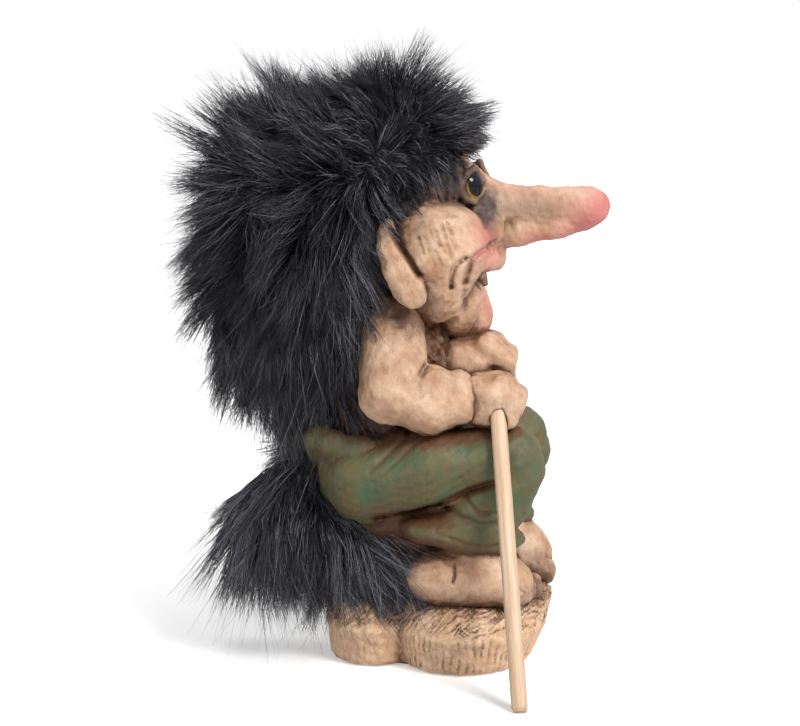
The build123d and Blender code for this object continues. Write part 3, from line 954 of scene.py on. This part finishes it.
def eye_finish():
    """Glass eye: dark pupil, yellow-brown iris ring with fine spokes that shows only in a painted glint low at
    the back, and a dark edge under clear glass.
    """
    eye, colours = Finish("eye_glass"), paint_colours()
    ring = eye.attribute("iris") + eye.noise(1.2) * 0.10
    dark, brown, amber = (tuple(c) for c in (colours.pupil, colours.iris_edge, colours.amber))
    stops = ((0.0, dark), (0.48, dark), (0.52, brown), (0.58, amber), (0.63, brown), (0.70, dark))
    colour = eye.add("ShaderNodeValToRGB", {"stops": stops}, {"Fac": ring})
    # The iris colour shows only in a painted glint, low at the back of the eye
    colour = eye.mix(eye.attribute("amber"), dark, colour)
    return eye.finished({"Base Color": colour, "Roughness": 0.03, "IOR": 1.5, "Specular IOR Level": 0.25})


def fibre_finish(name, share):
    """One even dark tone of fur fibre, from the darkest at 0 to the lightest at 1; the lighter tones are grey
    hairs and painted sheen.
    """
    dark, light = (np.array(c) for c in (paint_colours().fur_dark, paint_colours().fur_light_and_sheen))
    tone = tuple(dark + (light - dark) * share)
    return Finish(name).finished({"Base Color": tone, "Roughness": 0.32, "Specular IOR Level": 0.32})


def undercoat_finish():
    """The dark, tufted mass between the fibres."""
    coat = Finish("undercoat")
    tufts = coat.noise(0.8, 4.0)
    colour = coat.mix(tufts, paint_colours().coat_dark, paint_colours().coat_light)
    return coat.finished({"Base Color": colour, "Roughness": 0.9}, tufts, 0.6)


# Fur

HAIRLINE = (
    (60, -24), (70, -20), (80, -17.5), (92, -15.5), (108, -15), (113, -12.0), (115, -8), (117.5, -4),
    (120, -0.5), (123, 2.4), (126, 4.2), (130, 7.0), (134, 10), (145, 10),
)
MANE = ((-35, 0, 101), 17.5), ((-34.5, 0, 87), 14.5), ((-29, 0, 71), 9)


def wig_roots(points):
    """The dark core of the wig: scalp, back of the head and mane, kept behind the hairline."""
    q = mirrored(points)
    shape = oval(q, (-11.2, 0, 118.6), (21.9, 21.9, 22.4))
    shape = join(shape, oval(q, (0.2, 9.3, 121.4), (8.0, 8.9, 8.4)), 2.0)
    shape = join(shape, oval(q, (-30, 0, 116), (21, 22, 20)), 5)
    shape = join(shape, path(q, MANE, 4), 5)
    shape = join(shape, oval(q, (-26, 13.0, 97), (10.5, 10, 16)), 4)
    heights, line = zip(*HAIRLINE)
    behind = q[:, 0] - np.interp(q[:, 2], heights, line)
    return keep(shape, behind * 0.8, 2.0) + 0.9 * ripple(points, 12, 81)


def tail_roots(points):
    """The dark core of the tail."""
    shape = oval(points, (-36.5, -1, 35), (11.5, 12, 9.5), 12)
    shape = join(shape, rod(points, (-30, -1, 33), (-13.5, -7, 27), 9, 6), 4)
    shape = join(shape, rod(points, (-36, 0, 40), (-26, 0, 50), 8, 5), 4)
    return shape + 0.6 * ripple(points, 10, 82)


def fall(height, low, high):
    """0 at the low height, rising smoothly to 1 at the high one."""
    share = np.clip((height - low) / (high - low), 0, 1)
    return share * share * (3 - 2 * share)


def toward(share, way):
    """A direction for each point, as strong as the point's share."""
    return share[:, None] * np.array(way)


def wig_comb(points, normals):
    """Where the fibre of each root points, with its length, in millimetres."""
    x, _, z = points.T
    up = fall(z, 108, 130)
    front = fall(x, -20, 2) * fall(z, 126, 134)
    low = 1 - fall(z, 78, 104)
    temple = fall(x, -22, -8) * (1 - fall(z, 126, 136)) * fall(z, 100, 118)
    around = points - np.array((-24, 0, 116))
    around[:, 1] *= 0.4
    around /= np.linalg.norm(around, axis=1, keepdims=True)
    flow = 0.62 * normals + 0.45 * around
    flow += toward(up, (-0.10, 0, 0.05)) + toward(1 - up, (0.02, 0, -0.85))
    flow += toward(front, (0.9, 0, -0.45)) + toward(low, (0.30, 0, -0.75))
    flow += toward(up * fall(x, -40, -20) * (1 - front), (-0.55, 0, -0.10))
    flow += toward(temple, (0.55, 0, -0.45)) - temple[:, None] * normals * 0.38
    flow /= np.linalg.norm(flow, axis=1, keepdims=True)
    length = 16.0 - 6.0 * front - 7.5 * temple + 3.5 * low - 5.0 * up * fall(x, -54, -30) * (1 - front)
    length *= 1 - 0.35 * fall(x, -26, -14) * (1 - fall(z, 100, 116))
    return flow * length[:, None]


def tail_comb(points, normals):
    """The tail's fibres stand out at its top and hang at its sides."""
    x, _, z = points.T
    flow = 0.55 * normals + np.array((0.0, 0, -1.0))
    flow += toward(fall(x, -32, -18), (0.55, 0, -0.2))
    flow += toward(fall(z, 44, 52), (-0.2, 0, 0.5))
    flow /= np.linalg.norm(flow, axis=1, keepdims=True)
    length = 17.5 - 5.0 * fall(z, 38, 50)
    length = np.minimum(length, (z - 5.0) / np.maximum(-flow[:, 2], 0.2))
    return flow * np.maximum(length, 3.0)[:, None]


# A fibre runs from its root by way of a middle to its tip, each a vector that its point carries
FUR_INPUTS = (
    ("Geometry", "NodeSocketGeometry", None), ("Density", "NodeSocketFloat", 4.0e6),
    ("Seed", "NodeSocketInt", 1), ("Fibre Width", "NodeSocketFloat", 0.00026),
    ("Clump Size", "NodeSocketFloat", 0.005), ("Gathering", "NodeSocketFloat", 0.6),
    ("Spread", "NodeSocketFloat", 0.35), ("Swirls", "NodeSocketFloat", 90.0),
    ("Patches", "NodeSocketFloat", 0.0), ("Material", "NodeSocketMaterial", None),
)
FIBRE_NODES = ("root", "middle", "tip")
FIBRE_POINTS = 4
LOWEST_FIBRE = 0.0006
# How long a fibre is: what chance takes off it, and its clump's share of the combed length
SHORTENED, LOCK_LEAST, LOCK_MORE = 0.45, 0.78, 0.40
# Strays: the chance above which a fibre is one, its length, and how far it leaves its clump
STRAY_FROM, STRAY_LENGTH, STRAY_FREE, STRAY_SCATTER = 0.94, 1.12, 0.8, 0.30
# What moves a tip and a middle, as shares of the combed length
TIP_SWIRL, TIP_TURN, TIP_SCATTER = 1.25, 1.9, 0.14
MIDDLE_ALONG, MIDDLE_OUT, MIDDLE_PULL, MIDDLE_SCATTER = 0.30, 0.24, 0.25, -0.10
# Where the swirls' patches of painted sheen begin and end
SHEEN_PATCH_EDGES = (0.40, 0.60)
TAPER_POWER, TAPER = 1.6, 0.86
HALF = (0.5, 0.5, 0.5)


def fur_tree():
    """The node tree that grows fibres on a core: scattered, gathered in clumps, bowed, tapered."""
    group = bpy.data.node_groups.new("fur", "GeometryNodeTree")
    for name, kind, value in FUR_INPUTS:
        socket = group.interface.new_socket(name=name, in_out="INPUT", socket_type=kind)
        if value is not None:
            socket.default_value = value
    group.interface.new_socket(name="Geometry", in_out="OUTPUT", socket_type="NodeSocketGeometry")
    nodes = Nodes(group)
    given = nodes.add("NodeGroupInput")
    inputs = {name: given.other(name) for name, _, _ in FUR_INPUTS}

    # Roots, scattered in patches that the tone prefers: light tones gather in them as painted sheen
    root = nodes.add("GeometryNodeInputPosition")
    swirls = nodes.add("ShaderNodeTexNoise", None, {"Vector": root, "Scale": inputs["Swirls"], "Detail": 1.0})
    sheen_patch_share = nodes.clamped(swirls, *SHEEN_PATCH_EDGES) * 2.0 - 1.0
    density = inputs["Density"] * (1.0 + inputs["Patches"] * sheen_patch_share)
    sockets = {"Mesh": inputs["Geometry"], "Density": density, "Seed": inputs["Seed"]}
    points = nodes.add("GeometryNodeDistributePointsOnFaces", None, sockets)
    normal = points.other("Normal")
    comb = named(nodes, "comb")
    chance = nodes.add(
        "FunctionNodeRandomValue", {"data_type": "FLOAT"}, {2: 0.0, 3: 1.0, "Seed": inputs["Seed"]}, 1
    )
    bounds = {0: (-1.0, -1.0, -1.0), 1: (1.0, 1.0, 1.0), "Seed": inputs["Seed"] + 7.0}
    scatter = nodes.add("FunctionNodeRandomValue", {"data_type": "FLOAT_VECTOR"}, bounds)

    # Clumps: what pulls a fibre to its clump's middle and turns the clump as one
    clump_scale = nodes.sum("DIVIDE", 1.0, inputs["Clump Size"])
    sockets = {"Vector": root, "Scale": clump_scale, "Randomness": 1.0}
    clumps = nodes.add("ShaderNodeTexVoronoi", None, sockets, "Position")
    shade = vector_of(nodes, clumps.other("Color"))
    turn = shade - HALF
    pull = vector_of(nodes, clumps) - root
    lock = nodes.add("ShaderNodeSeparateXYZ", None, {0: shade}, 2)

    # Tips and middles
    length = nodes.length(comb)
    share = (1.0 - chance ** 2.0 * SHORTENED) * (lock * LOCK_MORE + LOCK_LEAST)
    stray = nodes.sum("GREATER_THAN", chance, STRAY_FROM)
    stray_length = share * (1.0 - stray) + stray * STRAY_LENGTH
    tip = comb * stray_length + pull * (inputs["Gathering"] * (1.0 - stray * STRAY_FREE))
    tip = tip + (vector_of(nodes, swirls.other("Color")) - HALF) * (length * TIP_SWIRL)
    tip = tip + turn * (length * inputs["Spread"] * TIP_TURN)
    tip = tip + scatter * (length * (stray * STRAY_SCATTER + TIP_SCATTER))
    middle = comb * MIDDLE_ALONG + normal * (length * MIDDLE_OUT)
    middle = middle + pull * (inputs["Gathering"] * MIDDLE_PULL) + scatter * (length * MIDDLE_SCATTER)
    for name, value in zip(FIBRE_NODES, (root, middle, tip)):
        settings = {"data_type": "FLOAT_VECTOR", "domain": "POINT"}
        sockets = {"Geometry": points, "Name": name, "Value": value}
        points = nodes.add("GeometryNodeStoreNamedAttribute", settings, sockets)

    # One line on each root, bent to its fibre and skinned
    line = nodes.add("GeometryNodeCurvePrimitiveLine", None, {"End": (0.0, 0.0, 1.0)})
    line = nodes.add("GeometryNodeResampleCurve", None, {"Curve": line, "Count": FIBRE_POINTS})
    fibres = nodes.add("GeometryNodeInstanceOnPoints", None, {"Points": points, "Instance": line})
    fibres = nodes.add("GeometryNodeRealizeInstances", None, {"Geometry": fibres})
    along_fibre = nodes.add("GeometryNodeSplineParameter")
    bowed = named(nodes, "middle") * (along_fibre * (1.0 - along_fibre) * 2.0)
    place = named(nodes, "root") + (bowed + named(nodes, "tip") * (along_fibre ** 2.0))
    place = nodes.sum("MAXIMUM", place, (-1.0, -1.0, LOWEST_FIBRE))
    fibres = nodes.add("GeometryNodeSetPosition", None, {"Geometry": fibres, "Position": place})
    taper = (1.0 - along_fibre ** TAPER_POWER * TAPER) * inputs["Fibre Width"] * 0.5
    ring = nodes.add("GeometryNodeCurvePrimitiveCircle", None, {"Resolution": 3, "Radius": 1.0})
    sockets = {"Curve": fibres, "Profile Curve": ring, "Scale": taper, "Fill Caps": True}
    fibres = nodes.add("GeometryNodeCurveToMesh", None, sockets)
    for name in FIBRE_NODES:
        fibres = nodes.add("GeometryNodeRemoveAttribute", None, {"Geometry": fibres, "Name": name})
    fibres = nodes.add("GeometryNodeRealizeInstances", None, {"Geometry": fibres})
    sockets = {"Geometry": fibres, "Material": inputs["Material"]}
    fibres = nodes.add("GeometryNodeSetMaterial", None, sockets)
    nodes.add("NodeGroupOutput", None, {"Geometry": fibres})
    return group


def named(nodes, name):
    """A vector attribute, read in a geometry tree."""
    return nodes.add("GeometryNodeInputNamedAttribute", {"data_type": "FLOAT_VECTOR"}, {"Name": name})


def vector_of(nodes, value):
    """A colour or vector output, passed on as a vector."""
    return nodes.add("ShaderNodeVectorMath", {"operation": "ADD"}, {0: value, 1: (0.0, 0.0, 0.0)})


UNDERCOAT_STEP = 1.1
# Tones of fibres, from the darkest at 0 to the lightest at 1, with their share of the fibres; the light tones are
# grey hairs and painted sheen
WIG_TONES = (
    (0.0, 0.17), (0.02, 0.17), (0.05, 0.16), (0.10, 0.15), (0.22, 0.14), (0.50, 0.12), (1.0, 0.09),
)
TAIL_TONES = ((0.03, 0.34), (0.14, 0.30), (0.45, 0.20), (1.0, 0.16))
FIRST_SEED, SEED_STEP = 11, 13
# How strongly a tone gathers in the patches of painted sheen, from the darkest tone, kept out of them, to the
# lightest
SHEEN_PATCHES_LEAST, SHEEN_PATCHES_RANGE = -0.6, 1.5


def grown(core, tree, name, density, patches, seed, material):
    """Fibres on a core, as a plain mesh that rides on the figure."""
    sizes = bpy.context.scene.troll_fur
    carrier = bpy.data.objects.new(name + "_carrier", core.data)
    bpy.context.scene.collection.objects.link(carrier)
    modifier = carrier.modifiers.new("fur", "NODES")
    modifier.node_group = tree
    values = {
        "Density": density * 1e6 * 1, "Patches": patches, "Seed": seed,
        "Fibre Width": sizes.width * 1,
        "Clump Size": sizes.clump, "Gathering": sizes.gathering, "Spread": sizes.spread, "Material": material,
    }
    for item in tree.interface.items_tree:
        if item.in_out == "INPUT" and item.name in values:
            modifier[item.identifier] = values[item.name]
    bpy.context.view_layer.update()
    graph = bpy.context.evaluated_depsgraph_get()
    mesh = bpy.data.meshes.new_from_object(carrier.evaluated_get(graph))
    bpy.data.objects.remove(carrier)
    mesh.name = name
    mesh.shade_smooth()
    piece = bpy.data.objects.new(name, mesh)
    bpy.context.scene.collection.objects.link(piece)
    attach(piece, FIGURE)
    return piece


def furred(name, shape, low, high, comb, density, tones, backing):
    """A dark core with fibres of several tones, in place of a fur node and its backing."""
    points, faces, normals = skinned(shape, low, high, UNDERCOAT_STEP)
    core = new_piece(name + "_undercoat", points, faces, undercoat_finish())
    set_attribute(core.data, "comb", comb(points.astype(np.float64), normals) * MM)
    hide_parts(backing)
    tree = fur_tree()
    for number, (tone, share) in enumerate(tones):
        finish = fibre_finish(f"{name}_fibre_{number + 1}", tone)
        patches = SHEEN_PATCHES_RANGE * number / (len(tones) - 1) + SHEEN_PATCHES_LEAST
        seed = FIRST_SEED + SEED_STEP * number
        fibres = grown(core, tree, f"{name}_fur_{number + 1}", density * share, patches, seed, finish)
        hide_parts(name + "_fur")


# Eyes, tooth and stick

EYE_AROUND, EYE_RINGS = 40, 24
# Which way the left eye looks, and where its iris colour shows as a painted glint: low and at the back, fading
# away upward and forward
EYE_LOOK = (0.80, 0.58, 0.06)
AMBER_GLINT_MIDDLE, AMBER_GLINT_FADE, AMBER_GLINT_WAY = 0.45, 1.3, (0.45, 0, 0.89)
TOOTH = ((11.4, -4.8, 99), 1.4), ((11.8, -5.2, 96.6), 1.2), ((12.6, -5.4, 95.2), 0.8)
TOOTH_STEP = 0.3
STICK_AROUND, STICK_RINGS, STICK_SEED = 28, 60, 91
STICK_FACETS = (0.2, 1.1, 1.9, 2.9, 3.7, 4.6, 5.4)
STICK_RISE = 6.8


def glass_eye(name, side, material):
    """One glass eye, with how far each point lies from the middle of the look, and where its painted glint lies.
    """
    points, faces, turned = ball_mesh(EYE_RADIUS, EYE_AROUND, EYE_RINGS)
    look = np.array(EYE_LOOK) * (1, side, 1)
    facing = turned @ (look / np.linalg.norm(look))
    eye = new_piece(name + "_glass_eye", points + np.array(EYE) * (1, side, 1), faces, material)
    set_attribute(eye.data, "iris", np.arccos(np.clip(facing, -1, 1)) / (math.pi / 2))
    # Painted glint: the iris colour is kept to the lower and back part of the eye
    amber = np.clip(AMBER_GLINT_MIDDLE - AMBER_GLINT_FADE * turned @ np.array(AMBER_GLINT_WAY), 0, 1)
    set_attribute(eye.data, "amber", amber)
    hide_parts(name + "_eye")


def ball_mesh(radius, around, rings):
    """A closed ball: its points, its faces and its outward directions."""
    angles = np.linspace(0, math.pi, rings + 1)[1:-1]
    turns = np.arange(around) / around * math.tau
    ring = [(math.sin(a) * math.cos(t), math.sin(a) * math.sin(t), math.cos(a)) for a in angles for t in turns]
    turned = np.array(ring + [(0, 0, 1), (0, 0, -1)])
    top, bottom = len(ring), len(ring) + 1
    faces = [(a, d, c, b) for a, b, c, d in ring_faces(around, rings - 2)]
    last = (rings - 2) * around
    for step in range(around):
        after = (step + 1) % around
        faces += [(top, step, after), (bottom, last + after, last + step)]
    return turned * radius, faces, turned


def tooth(points):
    """A blunt, worn peg that hangs from the upper lip."""
    return path(points, TOOTH, 0.6)


def whittled_stick(material):
    """A dowel with uneven facets, cut square at both ends."""
    foot_place = np.array(STICK_FOOT)
    axis = np.array(STICK_MOUTH) - foot_place
    length = np.linalg.norm(axis)
    axis = axis / length
    side = np.cross(axis, (0, 1, 0))
    side /= np.linalg.norm(side)
    other = np.cross(axis, side)
    draw = np.random.default_rng(STICK_SEED)
    turns = np.arange(STICK_AROUND) / STICK_AROUND * math.tau
    high = length + STICK_RISE
    points = []
    for ring in range(STICK_RINGS + 1):
        share = ring / STICK_RINGS
        height = high * share
        turned = np.array(STICK_FACETS) + 0.10 * math.sin(3 * share)
        flat = np.min([1.0 / np.maximum(np.cos(turns - facet), 0.3) * 0.93 for facet in turned], axis=0)
        radius = STICK_RADIUS * np.minimum(flat, 1.0) * (1 + 0.008 * draw.normal())
        radius = radius * min(1.0, 0.82 + 0.25 * min(height, high - height))
        middle = foot_place + axis * height
        points.append(middle + np.outer(radius * np.cos(turns), side) + np.outer(radius * np.sin(turns), other))
    points = np.concatenate(points)
    points[:, 2] = np.maximum(points[:, 2], 0.0)
    faces = ring_faces(STICK_AROUND, STICK_RINGS)
    faces.append(tuple(reversed(range(STICK_AROUND))))
    faces.append(tuple(range(STICK_RINGS * STICK_AROUND, (STICK_RINGS + 1) * STICK_AROUND)))
    return new_piece("whittled_stick", points, faces, material, STICK)


def finish_node(name, material):
    """Gives a CAD node that stays its material."""
    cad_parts[name].material_slots[0].material = material


# Stage

WHITE = (1, 1, 1, 1)
FLOOR_REACH = 3.0
FLOOR_GREYS = (0.86, 0.86, 0.86, 1), (0.88, 0.88, 0.88, 1)
# To the camera the floor glows: its least glow near the figure, rising with distance in millimetres
GLOW_LEAST, GLOW_MORE, GLOW_FROM, GLOW_TO = 0.38, 0.62, 60.0, 260.0
# The world's light, and what the camera and mirrors see on top of it
WORLD_LIGHT, WORLD_SEEN = 0.22, 0.78
# Each lamp's name, place, size and power
LAMPS = (
    ("key", (0.46, -0.48, 0.64), 0.34, 7.0), ("fill", (-0.60, -0.45, 0.30), 0.60, 1.0),
    ("top", (-0.15, 0.35, 0.75), 0.45, 2.2),
)
AIM = (-0.009, 0.0, 0.07414)
VIEW_TURN, VIEW_RISE, VIEW_DISTANCE = 6.0, 9.0, 0.640
VIEW_LENS, VIEW_SENSOR, VIEW_CLIP = 115.2, 36.0, 0.01


def make_floor():
    """A wide pale floor that keeps the object's shadow."""
    mesh = bpy.data.meshes.new("floor")
    corners = [(x * FLOOR_REACH, y * FLOOR_REACH, 0) for x, y in ((-1, -1), (1, -1), (1, 1), (-1, 1))]
    mesh.from_pydata(corners, [], [(0, 1, 2, 3)])
    floor = bpy.data.objects.new("floor", mesh)
    bpy.context.scene.collection.objects.link(floor)
    paint = Finish("floor_paper")
    colour = paint.mix(paint.noise(0.02, 2.0), *FLOOR_GREYS)
    seen = paint.add("ShaderNodeLightPath", None, None, "Is Camera Ray")
    paper = paint.add("ShaderNodeBsdfDiffuse", None, {"Color": colour})
    away = paint.clamped(paint.length(paint.place), GLOW_FROM, GLOW_TO)
    glow = seen * (away * GLOW_MORE + GLOW_LEAST)
    glow = paint.add("ShaderNodeEmission", None, {"Color": WHITE, "Strength": glow})
    mesh.materials.append(paint.surfaced(paint.add("ShaderNodeAddShader", None, {0: paper, 1: glow})))


def make_lamps(scene):
    """Broad soft lamps and a white world."""
    for name, place, size, power in LAMPS:
        lamp = bpy.data.lights.new(name, "AREA")
        lamp.shape = "DISK"
        lamp.size = size
        lamp.energy = power
        holder = bpy.data.objects.new(name, lamp)
        scene.collection.objects.link(holder)
        aim(holder, place, AIM)
    world = bpy.data.worlds.new("studio")
    world.use_nodes = True
    world.node_tree.nodes.clear()
    scene.world = world
    nodes = Nodes(world.node_tree)
    rays = nodes.add("ShaderNodeLightPath", None, None, "Is Camera Ray")
    strength = nodes.sum("MAXIMUM", rays, rays.other("Is Glossy Ray")) * WORLD_SEEN + WORLD_LIGHT
    sky = nodes.add("ShaderNodeBackground", None, {"Color": WHITE, "Strength": strength})
    nodes.add("ShaderNodeOutputWorld", None, {"Surface": sky})


def aim(holder, place, target):
    """Puts a lamp or camera in place and points it at a target."""
    line = np.array(target) - np.array(place)
    holder.location = place
    holder.rotation_euler = mathutils.Vector(line).to_track_quat("-Z", "Y").to_euler()


def make_camera(scene):
    """The camera, at the photograph's angle."""
    data = bpy.data.cameras.new("camera")
    data.sensor_width = VIEW_SENSOR
    data.lens = VIEW_LENS
    data.clip_start = VIEW_CLIP
    camera = bpy.data.objects.new("camera", data)
    scene.collection.objects.link(camera)
    turn, rise = math.radians(VIEW_TURN), math.radians(VIEW_RISE)
    back = np.array((math.sin(turn) * math.cos(rise), -math.cos(turn) * math.cos(rise), math.sin(rise)))
    aim(camera, tuple(np.array(AIM) + back * VIEW_DISTANCE), AIM)
    scene.camera = camera
    scene.view_settings.view_transform = "Standard"


# Operators, one for each group of pieces

class TROLL_OT_head(bpy.types.Operator):
    """Makes the head with its ears, nose and creases"""

    bl_idname = "troll.head"
    bl_label = "Head"

    def execute(self, context):
        casting("head", skin_finish("skin_paint"))
        return {"FINISHED"}


class TROLL_OT_body(bpy.types.Operator):
    """Makes the trunk, arms and hands"""

    bl_idname = "troll.body"
    bl_label = "Body, arms and hands"

    def execute(self, context):
        finish = skin_finish("body_paint")
        for name in ("right_arm", "left_arm", "right_fist", "left_hand"):
            casting(name, finish)
        casting("torso", hide_finish(), TORSO_COARSER)
        return {"FINISHED"}


class TROLL_OT_trousers(bpy.types.Operator):
    """Makes the trouser legs and seat"""

    bl_idname = "troll.trousers"
    bl_label = "Trousers"

    def execute(self, context):
        finish = trouser_finish()
        for name in ("right_trouser_leg", "left_trouser_leg", "trouser_seat"):
            casting(name, finish)
        return {"FINISHED"}


class TROLL_OT_feet(bpy.types.Operator):
    """Makes the bare feet"""

    bl_idname = "troll.feet"
    bl_label = "Feet"

    def execute(self, context):
        finish = skin_finish("foot_paint")
        for name in ("right_foot", "left_foot"):
            casting(name, finish)
        return {"FINISHED"}


class TROLL_OT_ground(bpy.types.Operator):
    """Makes the ground slab and finishes its felt pad"""

    bl_idname = "troll.ground"
    bl_label = "Ground"

    def execute(self, context):
        casting("ground_slab", ground_finish())
        finish_node("base_felt", felt_finish())
        return {"FINISHED"}


class TROLL_OT_eyes(bpy.types.Operator):
    """Makes the glass eyes and finishes their wires"""

    bl_idname = "troll.eyes"
    bl_label = "Eyes"

    def execute(self, context):
        glass, steel = eye_finish(), steel_finish()
        for name, side in (("right", -1), ("left", 1)):
            glass_eye(name, side, glass)
            finish_node(name + "_eye_wire", steel)
        return {"FINISHED"}


class TROLL_OT_tooth(bpy.types.Operator):
    """Makes the tooth that hangs from the upper lip"""

    bl_idname = "troll.tooth"
    bl_label = "Tooth"

    def execute(self, context):
        points, faces, _ = skinned(tooth, (8, -8, 90), (18, 2, 101), TOOTH_STEP)
        piece = new_piece("tooth_peg", points, faces, tooth_finish())
        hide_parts("tooth")
        return {"FINISHED"}


class TROLL_OT_wig(bpy.types.Operator):
    """Grows the fur wig on its core"""

    bl_idname = "troll.wig"
    bl_label = "Wig"

    def execute(self, context):
        density = context.scene.troll_fur.wig_density
        furred("wig", wig_roots, (-62, -32, 54), (12, 32, 146), wig_comb, density, WIG_TONES, "wig_backing")
        return {"FINISHED"}


class TROLL_OT_tail(bpy.types.Operator):
    """Grows the fur tail on its core"""

    bl_idname = "troll.tail"
    bl_label = "Tail"

    def execute(self, context):
        density = context.scene.troll_fur.tail_density
        furred("tail", tail_roots, (-56, -20, 14), (-6, 20, 60), tail_comb, density, TAIL_TONES, "tail_stub")
        return {"FINISHED"}


class TROLL_OT_stick(bpy.types.Operator):
    """Makes the loose walking stick"""

    bl_idname = "troll.stick"
    bl_label = "Walking stick"

    def execute(self, context):
        piece = whittled_stick(wood_finish())
        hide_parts("walking_stick")
        return {"FINISHED"}


class TROLL_OT_stage(bpy.types.Operator):
    """Makes the floor, the lamps and the camera"""

    bl_idname = "troll.stage"
    bl_label = "Stage"

    def execute(self, context):
        make_floor()
        make_lamps(context.scene)
        make_camera(context.scene)
        return {"FINISHED"}


class TROLL_PT_panel(bpy.types.Panel):
    """Lists the operators, sizes and colours"""

    bl_idname = "TROLL_PT_panel"
    bl_label = "Troll ornament"
    bl_space_type = "VIEW_3D"
    bl_region_type = "UI"
    bl_category = "Troll"

    def draw(self, context):
        for operator in OPERATORS:
            self.layout.operator(operator.bl_idname)
        for group_name, group in GROUPS.items():
            box = self.layout.box()
            for name in group.__annotations__:
                box.prop(getattr(context.scene, group_name), name)


OPERATORS = (
    TROLL_OT_stage, TROLL_OT_ground, TROLL_OT_feet, TROLL_OT_trousers, TROLL_OT_body, TROLL_OT_head,
    TROLL_OT_eyes, TROLL_OT_tooth, TROLL_OT_wig, TROLL_OT_tail, TROLL_OT_stick,
)
GROUPS = {"troll_paint": PaintColours, "troll_fur": FurSizes, "troll_casting": CastingSizes}


def register():
    """Registers the sizes, the operators and the panel."""
    for group_name, group in GROUPS.items():
        bpy.utils.register_class(group)
        setattr(bpy.types.Scene, group_name, bpy.props.PointerProperty(type=group))
    for made in (*OPERATORS, TROLL_PT_panel):
        bpy.utils.register_class(made)


def unregister():
    """Takes back what register adds."""
    for made in reversed((*OPERATORS, TROLL_PT_panel)):
        bpy.utils.unregister_class(made)
    for group_name, group in GROUPS.items():
        delattr(bpy.types.Scene, group_name)
        bpy.utils.unregister_class(group)


def main():
    """Makes every piece."""
    register()
    for operator in OPERATORS:
        category, name = operator.bl_idname.split(".")
        getattr(getattr(bpy.ops, category), name)()


if __name__ == "__main__":
    main()
